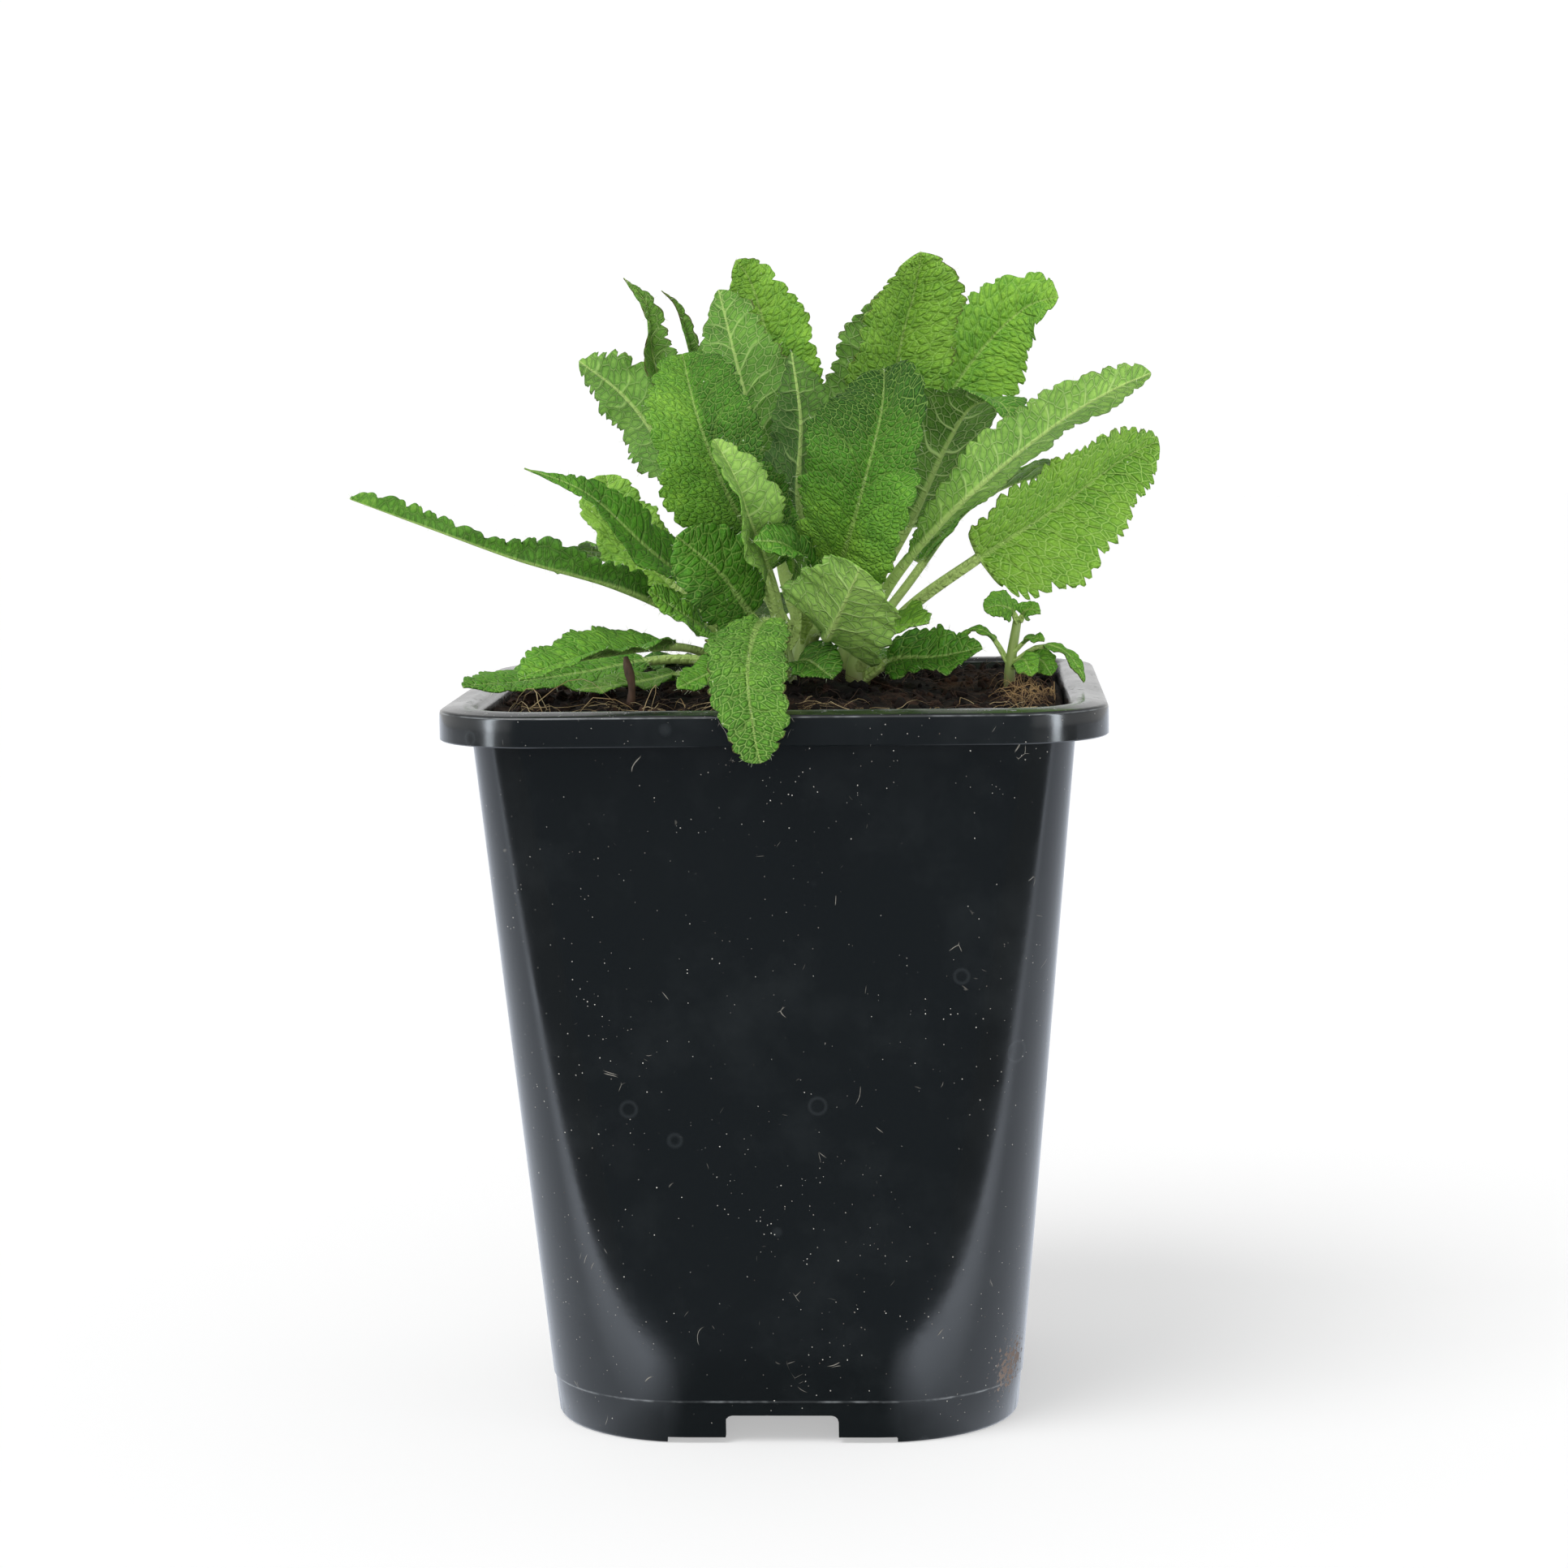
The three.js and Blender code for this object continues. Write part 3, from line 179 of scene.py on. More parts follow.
def black_polypropylene():
    """Black polypropylene, injection moulded: satin gloss, with a faint orange peel. Handling
    left specks of peat and lime, dried drops, hair-thin scratches and dust on the mould line."""
    material, add, shader = new_material("black_polypropylene")
    here = add("TexCoord").outputs["Object"]
    height = add("SeparateXYZ", (here,)).outputs["Z"]
    scuff = add("TexNoise", {"Vector": here, "Scale": 55.0, "Detail": 5.0, "Roughness": 0.65})
    scuffed = add("MapRange", (scuff, 0.5, 0.85, 0.0, 0.4))
    look = add("Mix", {0: scuffed, 6: "#131719", 7: "#2A2F31"}, data_type="RGBA")
    # Dried drops: faint rings 2 to 4 mm across, in one of five cells of 8 mm.
    drop = add("TexVoronoi", {"Vector": here, "Scale": 125.0})
    chance = add("SeparateColor", (drop.outputs["Color"],))
    radius = add("MapRange", (chance.outputs["Green"], 0.0, 1.0, 0.12, 0.24))
    band = add("Math", (drop.outputs["Distance"], radius), operation="SUBTRACT")
    band = add("Math", (band,), operation="ABSOLUTE")
    ring = add("MapRange", (band, 0.0, 0.05, 0.12, 0.0))
    dried = add("Math", (chance.outputs["Red"], 0.8), operation="GREATER_THAN")
    ring = add("Math", (ring, dried), operation="MULTIPLY")
    stains_and_highlights = [(ring, "#5A6064")]
    # Scratches: the thin walls of warped cells, kept only here and there.
    warp = add("TexNoise", {"Vector": here, "Scale": 90.0, "Detail": 1.0})
    warped = add("VectorMath", (warp.outputs["Color"], (0.02, 0.02, 0.02)), operation="MULTIPLY")
    warped = add("VectorMath", (here, warped), operation="ADD")
    hair = add("TexVoronoi", {"Vector": warped, "Scale": 150.0}, feature="DISTANCE_TO_EDGE")
    hair = add("MapRange", (hair, 0.004, 0.012, 1.0, 0.0))
    kept = add("TexNoise", {"Vector": here, "Scale": 230.0, "Detail": 1.0})
    kept = add("MapRange", (kept, 0.69, 0.76, 0.0, 0.7))
    hair = add("Math", (hair, kept), operation="MULTIPLY")
    stains_and_highlights.append((hair, "#A39E93"))
    # Lime left by watering, in pale crumbs of half a millimetre on top of the rim.
    on_rim = add("MapRange", (height, 123.9 * MM, 124.3 * MM, 0.0, 0.12))
    crust = add("TexNoise", {"Vector": here, "Scale": 620.0, "Detail": 5.0, "Roughness": 0.7})
    crust = add("MapRange", (crust, 0.6, 0.66, 0.0, 5.0))
    crust = add("Math", (crust, on_rim), operation="MULTIPLY")
    stains_and_highlights.append((crust, "#B9BCBA"))
    # Specks of peat and lime, 0.2 to 0.4 mm across, in swarms and thickest on top of the rim.
    swarm = add("TexNoise", {"Vector": here, "Scale": 38.0, "Detail": 2.0})
    thinned = add("MapRange", (swarm, 0.33, 0.58, -0.08, 0.04))
    marks = add("Math", (hair, crust), operation="MAXIMUM")
    for scale, least, widest in ((400.0, 0.8, 0.05), (850.0, 0.78, 0.09), (1700.0, 0.84, 0.17)):
        grain = add("TexVoronoi", {"Vector": here, "Scale": scale})
        chance = add("SeparateColor", (grain.outputs["Color"],))
        likely = add("Math", (chance.outputs["Red"], on_rim), operation="ADD")
        likely = add("Math", (likely, thinned), operation="ADD")
        size = add("MapRange", {0: likely, 1: least, 3: 0.0, 4: widest})
        speck = add("Math", (grain.outputs["Distance"], size), operation="LESS_THAN")
        tint = add("Mix", {0: chance.outputs["Green"], 6: "#473D35", 7: "#D0CEC6"}, data_type="RGBA")
        stains_and_highlights.append((speck, tint))
        marks = add("Math", (marks, speck), operation="MAXIMUM")
    # Dust on the mould's parting line, and painted highlights as pale lines along the rim's two edges.
    edges = ((MOULD_LINE + 0.15, 0.3, 0.7), (RIM_TOP - 0.8, 0.16, 0.55), (RIM_TOP - 0.05, 0.1, 0.4))
    for level, soft, most in edges:
        off_line = add("Math", (height, level * MM), operation="SUBTRACT")
        off_line = add("Math", (off_line,), operation="ABSOLUTE")
        on_line = add("MapRange", (off_line, 0.0, soft * MM, 1.0, 0.0))
        broken = add("TexNoise", {"Vector": here, "Scale": 260.0, "Detail": 3.0})
        broken = add("MapRange", (broken, 0.42, 0.62, 0.1, most))
        # On the rim's two edges this pale line is a painted highlight; on the mould line it is dust.
        dust = add("Math", (on_line, broken), operation="MULTIPLY")
        stains_and_highlights.append((dust, "#9BA0A3"))
    # Earth on the foot's right front corner.
    corner = (0.0395, -0.0285, 0.010)
    reach = add("VectorMath", (here, corner), operation="DISTANCE").outputs["Value"]
    near = add("MapRange", (reach, 0.002, 0.011, 0.42, 0.0))
    crumbs = add("TexNoise", {"Vector": here, "Scale": 1300.0, "Detail": 4.0})
    earth = add("Math", (near, crumbs), operation="ADD")
    earth = add("MapRange", (earth, 0.84, 0.92, 0.0, 0.85))
    tint = add("Mix", {0: warp, 6: "#4E3A30", 7: "#A8968A"}, data_type="RGBA")
    stains_and_highlights.append((earth, tint))
    for share, color in stains_and_highlights:
        look = add("Mix", {0: share, 6: look, 7: color}, data_type="RGBA")
    marks = add("Math", (marks, earth), operation="MAXIMUM")
    rough = add("MapRange", (scuff, 0.3, 0.8, 0.14, 0.26))
    rough = add("Math", (rough, marks), operation="MAXIMUM")
    # Orange peel about 2 mm across.
    peel = add("TexNoise", {"Vector": here, "Scale": 480.0, "Detail": 2.0})
    peel = add("Math", (peel, 0.3), operation="MULTIPLY")
    raised = add("Math", (peel, marks), operation="ADD")
    bump = add("Bump", {"Height": raised, "Strength": 0.35, "Distance": 0.0001})
    set_inputs(shader, {"Base Color": look, "Roughness": rough, "Normal": bump, "IOR": 1.49})
    return material


def pot_rings():
    """The pot's levels from inside the foot, down round it, up the outside, over the rim and
    down the inside to the floor. Pairs give a height and how far in the level lies."""
    foot = [(FOOT_RECESS, 1.9), (0.4, 1.75), (0.1, 1.6), (0, 1.3), (0, 0.7), (0.15, 0.25), (0.6, 0)]
    side = [(MOULD_LINE, 0), (MOULD_LINE + 0.15, -0.25)]
    side += [(z, -0.25) for z in (*np.linspace(12, RIM_UNDER, 16), 122.6)]
    rings = [wall_ring(z, inset) for z, inset in foot + side]
    rim = [
        (122.9, 1.2), (119.2, 1.2), (119.02, 1.05), (119, 0.25), (119.2, 0), (121.5, 0), (123.35, 0.02),
        (123.75, 0.12), (124, 0.4), (124.1, 0.9), (124.3, 2.4), (124.48, 3.6), (124.48, 4.2), (124.35, 5.2),
    ]
    rings += [square_ring(RIM_HALF - inset, RIM_CORNER - inset, z) for z, inset in rim]
    rings += [square_ring(TOP_HALF, TOP_CORNER, RIM_TOP - 0.25), wall_ring(RIM_TOP - 0.7, WALL - 0.4)]
    rings += [wall_ring(RIM_TOP - 1.4, WALL), wall_ring(80, WALL), wall_ring(FLOOR_TOP, WALL)]
    return np.array(rings)


def drain_cutter():
    """The notches in the foot and the holes through the floor, as one mesh."""
    bm = bmesh.new()
    for wide, high in (NOTCH, NOTCH_STEP):
        for turn in (0, math.pi / 2):
            size = Matrix.Diagonal((2 * RIM_HALF * MM, wide * MM, 2 * high * MM, 1))
            made = bmesh.ops.create_cube(bm, size=1, matrix=Matrix.Rotation(turn, 4, "Z") @ size)
            top = [v for v in made["verts"] if v.co.z > 0]
            along = Vector((math.cos(turn), math.sin(turn), 0))
            edges = {e for v in top for e in v.link_edges if e.other_vert(v) in top}
            edges = [e for e in edges if abs((e.verts[0].co - e.verts[1].co).normalized().dot(along)) > 0.9]
            bmesh.ops.bevel(
                bm, geom=edges, offset=0.24 * high * MM, affect="EDGES", segments=3, profile=0.5, material=-1
            )
    ring = [math.pi / 4 + quarter * math.pi / 2 for quarter in range(4)]
    spots = [(0, 0)] + [(DRAIN_RING_RADIUS * math.cos(at), DRAIN_RING_RADIUS * math.sin(at)) for at in ring]
    wide = DRAIN_HOLE_RADIUS * MM
    for x, y in spots:
        there = Matrix.Translation(Vector((x, y, FOOT_RECESS + WALL / 2)) * MM)
        bmesh.ops.create_cone(
            bm, cap_ends=True, segments=32, radius1=wide, radius2=wide, depth=4 * MM, matrix=there
        )
    return bm


SHARP_EDGE = math.radians(38)
pot = piece("nursery_pot", skin(pot_rings()), black_polypropylene(), "pot", "pot")
cutter = put("drain_cutter", mesh_of(drain_cutter()))
drains = pot.modifiers.new("drains", "BOOLEAN")
drains.object = cutter
drains.operand_type = "OBJECT"
drains.use_self = True
pot.data = finished(pot)
pot.modifiers.clear()
bpy.data.objects.remove(cutter)
pot.data.set_sharp_from_angle(angle=SHARP_EDGE)


# ---- The soil -----------------------------------------------------------------------------
# Damp sphagnum peat that fills the pot to 2 mm below the rim: dark crumbs with pale, matted
# fibres and dead roots lying on top. It is loose, and holds the plant by its roots.

CROWN = (2.5, -1)
SOIL_TOP = 122.5
SOIL_GAP = 0.1
LITTER_HALF = 46.5
soil_random = np.random.default_rng(5)


def soil_level(x, y):
    """Height of the peat at a place on the plan, in millimetres."""
    far = math.hypot(x - CROWN[0], y - CROWN[1])
    mound = 3.2 * math.exp(-((far / 26) ** 2))
    heap = 1.6 * math.exp(-(((x - 40) / 9) ** 2) - ((y + 8) / 16) ** 2)
    clods = noise.fractal(Vector((x, y, 0)) * 0.11, 0.9, 2.1, 5) * 1.1
    return SOIL_TOP + mound + heap + clods + noise.noise(Vector((x, y, 7)) * 0.9) * 0.35


def soil_rings():
    """The soil's levels from the floor up the wall, then inwards over its uneven top."""
    rings = [wall_ring(z, WALL + SOIL_GAP) for z in (FLOOR_TOP + SOIL_GAP, 60, 110, 120.5)]
    rim = wall_ring(122, WALL + SOIL_GAP)
    for share in np.linspace(1, 0.02, 52):
        ring = rim * (share, share, 1)
        ring[:, 2] = [soil_level(x, y) - (1.2 if share == 1 else 0) for x, y in ring[:, :2]]
        rings.append(ring)
    return np.array(rings)


def damp_peat():
    """Damp peat: nearly black brown, dull, with crumbs under 1 mm and rusty flecks."""
    material, add, shader = new_material("damp_peat")
    here = add("TexCoord").outputs["Object"]
    crumb = add("TexNoise", {"Vector": here, "Scale": 700.0, "Detail": 6.0, "Roughness": 0.7})
    patch = add("TexNoise", {"Vector": here, "Scale": 110.0, "Detail": 3.0})
    mixed = add("Math", (crumb, patch), operation="MULTIPLY")
    shade = add("MapRange", (mixed, 0.14, 0.4, 0.0, 1.0))
    ramp = add("ValToRGB", (shade,))
    ramp.color_ramp.elements[0].color = hex_color("#0C0806")
    ramp.color_ramp.elements[1].color = hex_color("#4E382B")
    ramp.color_ramp.elements.new(0.45).color = hex_color("#1F1510")
    bump = add("Bump", {"Height": crumb, "Strength": 0.9, "Distance": 0.0008})
    set_inputs(shader, {"Base Color": ramp, "Roughness": 0.92, "Specular IOR Level": 0.2, "Normal": bump})
    return material


def soil_crumbs(count):
    """Loose crumbs of peat, 0.6 to 2.6 mm across."""
    bm = bmesh.new()
    for _ in range(count):
        x, y = soil_random.uniform(-LITTER_HALF, LITTER_HALF, 2)
        size = 0.3 + 1.0 * soil_random.random() ** 3
        where = Vector((x, y, soil_level(x, y) + 0.3 * size)) * MM
        turn = Matrix.Rotation(soil_random.uniform(0, 6.3), 4, Vector(soil_random.normal(size=3)))
        stretch = Matrix.Diagonal((*(soil_random.uniform(0.55, 1.25, 3) * size * MM), 1))
        place = Matrix.Translation(where) @ turn @ stretch
        for vert in bmesh.ops.create_icosphere(bm, subdivisions=1, radius=1, matrix=place)["verts"]:
            vert.co += Vector(soil_random.normal(size=3)) * 0.13 * size * MM
    return mesh_of(bm)


def threads(strands):
    """Fine threads as one mesh. A strand is a list of points with a radius, in metres."""
    curve = bpy.data.curves.new("threads", "CURVE")
    curve.dimensions = "3D"
    curve.bevel_depth = 1 * MM
    curve.bevel_resolution = 0
    curve.use_fill_caps = True
    for strand in strands:
        spline = curve.splines.new("POLY")
        spline.points.add(len(strand) - 1)
        for point, (*at, radius) in zip(spline.points, strand):
            point.co = (*at, 1)
            point.radius = radius
    made = put("threads", curve)
    mesh = finished(made)
    bpy.data.objects.remove(made)
    mesh.materials.clear()
    return mesh


def fibre_litter(count, low, high, longest, highest, thickest):
    """Strands that lie on the peat between two corners, each bent, with its middle arched up."""
    strands = []
    steps = 8
    for _ in range(count):
        x, y = soil_random.uniform(low, high)
        heading = soil_random.uniform(0, 2 * math.pi)
        length = soil_random.uniform(0.25, 1) * longest
        thin = soil_random.uniform(0.4, 1) * thickest
        arch = soil_random.uniform(0.1, 1) * highest
        strand = []
        for share in np.arange(steps) / (steps - 1):
            level = soil_level(x, y) + 0.2 + arch * math.sin(math.pi * share)
            strand.append((x * MM, y * MM, level * MM, thin * (1 - 0.6 * share)))
            heading += soil_random.normal() * 0.45
            x = float(np.clip(x + math.cos(heading) * length / steps, -LITTER_HALF, LITTER_HALF))
            y = float(np.clip(y + math.sin(heading) * length / steps, -LITTER_HALF, LITTER_HALF))
        strands.append(strand)
    return threads(strands)


def dead_root(name, dark, light):
    """Dry root or moss fibre: matt, with a shade that changes every few millimetres."""
    material, add, shader = new_material(name)
    here = add("TexCoord").outputs["Object"]
    shade = add("TexNoise", {"Vector": here, "Scale": 160.0, "Detail": 2.0})
    shade = add("MapRange", (shade, 0.35, 0.65, 0.0, 1.0))
    tint = add("Mix", {0: shade, 6: dark, 7: light}, data_type="RGBA")
    set_inputs(shader, {"Base Color": tint, "Roughness": 0.8})
    return material


peat = damp_peat()
piece("peat_soil", skin(soil_rings()), peat, "soil", "soil")
piece("peat_crumbs", soil_crumbs(1500), peat, "soil")
moss_fibre = dead_root("moss_fibre", "#1E140E", "#57402C")
straw_root = dead_root("straw_root", "#8F7448", "#CDBA8E")
rusty_root = dead_root("rusty_root", "#4A321F", "#AC8C5C")
for name, finish, litter in (
    ("peat_fibres", moss_fibre, (260, (-46, -46), (46, 46), 17, 2.2, 0.08)),
    ("rust_fibres", rusty_root, (75, (39, -34), (46, -12), 9, 3.2, 0.1)),
    ("straw_roots_left", straw_root, (14, (-42, -42), (-6, -30), 20, 5.5, 0.1)),
    ("straw_roots", straw_root, (45, (-44, -44), (46, -28), 13, 1.6, 0.08)),
):
    piece(name, fibre_litter(*litter), finish, "soil")


# ---- The crown ----------------------------------------------------------------------------
# The rootstock stands in the peat and sends up short, fleshy shoots, square with round
# corners. Their growing tips carry the leaves, so that little more than their sides shows.
# Each shoot has its place on the plan, the height of its top and its radius.

SHOOTS = {
    "west": (-8, -2, 133, 2.6),
    "south": (0.5, -10, 133.5, 2.6),
    "centre": (4, -1, 135, 2.8),
    "east": (13, -5, 132, 2.6),
    "north": (2, 9, 134, 2.8),
    "north_west": (-7, 6, 134, 2.6),
    "north_east": (11, 6, 134, 2.6),
}


def midline(path, samples=400):
    """A smooth line through points: places and directions at even steps of its length."""
    p = np.array(path, float)
    p = np.vstack([2 * p[0] - p[1], p, 2 * p[-1] - p[-2]])
    knots = np.sqrt(np.linalg.norm(np.diff(p, axis=0), axis=1))
    dense = []
    for i in range(1, len(p) - 2):
        before, here, after = knots[i - 1], knots[i], knots[i + 1]
        start = (p[i] - p[i - 1]) / before - (p[i + 1] - p[i - 1]) / (before + here)
        start = (start + (p[i + 1] - p[i]) / here) * here
        end = (p[i + 1] - p[i]) / here - (p[i + 2] - p[i]) / (here + after)
        end = (end + (p[i + 2] - p[i + 1]) / after) * here
        t = np.linspace(0, 1, 60)[:, None]
        cubic = 2 * p[i] - 2 * p[i + 1] + start + end
        square = -3 * p[i] + 3 * p[i + 1] - 2 * start - end
        dense.append(p[i] + start * t + square * t**2 + cubic * t**3)
    dense = np.vstack(dense)
    run = np.concatenate([[0], np.cumsum(np.linalg.norm(np.diff(dense, axis=0), axis=1))])
    even = np.linspace(0, run[-1], samples)
    places = np.column_stack([np.interp(even, run, dense[:, k]) for k in range(3)])
    along = np.gradient(places, axis=0)
    along /= np.linalg.norm(along, axis=1)[:, None]
    return places, along, run[-1]


def at_share(table, share):
    """Looks a share of the way along up in a table of vectors at even steps."""
    steps = np.linspace(0, 1, len(table))
    return np.stack([np.interp(share, steps, table[:, k]) for k in range(table.shape[1])], axis=-1)


def tube_rings(path, radii, sides=14, square=0.0):
    """Rings along a path with radii given from its start to its end. "square" flattens the
    sides, as on the stem of a salvia."""
    places, along, length = midline(path)
    share = np.linspace(0, 1, max(6, int(length / 0.7)))
    at, way = at_share(places, share), at_share(along, share)
    radius = np.interp(share, np.linspace(0, 1, len(radii)), radii)
    right = np.cross((0, 1, 0), way)
    right /= np.linalg.norm(right, axis=1)[:, None]
    up = np.cross(way, right)
    angle = np.linspace(0, 2 * math.pi, sides, endpoint=False)
    flat = 1 + square * np.cos(4 * angle)
    ring = radius[:, None, None] * flat[None, :, None]
    turn = right[:, None] * np.cos(angle)[None, :, None] + up[:, None] * np.sin(angle)[None, :, None]
    return at[:, None] + ring * turn


def fresh_stem():
    """Fresh shoot: pale yellow green with faint lengthwise ribs, earthy brown at its foot."""
    material, add, shader = new_material("fresh_stem")
    here = add("TexCoord").outputs["Object"]
    ribs = add("Mapping", {"Vector": here, "Scale": (1.0, 1.0, 0.12)})
    ribs = add("TexNoise", {"Vector": ribs, "Scale": 900.0, "Detail": 3.0})
    tint = add("Mix", {0: ribs, 6: "#6F8F3F", 7: "#A9BE6E"}, data_type="RGBA")
    height = add("SeparateXYZ", (here,)).outputs["Z"]
    low = add("MapRange", (height, 0.1245, 0.1285, 0.75, 0.0))
    foot = add("Mix", {0: low, 6: tint, 7: "#4C3626"}, data_type="RGBA")
    bump = add("Bump", {"Height": ribs, "Strength": 0.4, "Distance": 0.0003})
    set_inputs(shader, {"Base Color": foot, "Roughness": 0.55, "Normal": bump})
    return material


def crown_mesh():
    """The buried rootstock and the shoots, in one mesh."""
    whole = bmesh.new()
    runs = [([(*CROWN, 106), (*CROWN, 112.5), (*CROWN, 120)], [5.8, 11.7, 10.4])]
    for x, y, top, radius in SHOOTS.values():
        lean = [(x, y, 113), (x, y, 122), (x, y, top - 1.5), (x, y, top + 0.4)]
        runs.append((lean, [radius + 0.4, radius + 0.1, radius - 0.2, radius - 0.7, 0.5]))
    for path, radii in runs:
        shoot = skin(tube_rings(path, radii, 24, 0.04))
        whole.from_mesh(shoot)
        bpy.data.meshes.remove(shoot)
    return mesh_of(whole)


stem_green = fresh_stem()
piece("crown_shoots", crown_mesh(), stem_green, "crown", "crown")
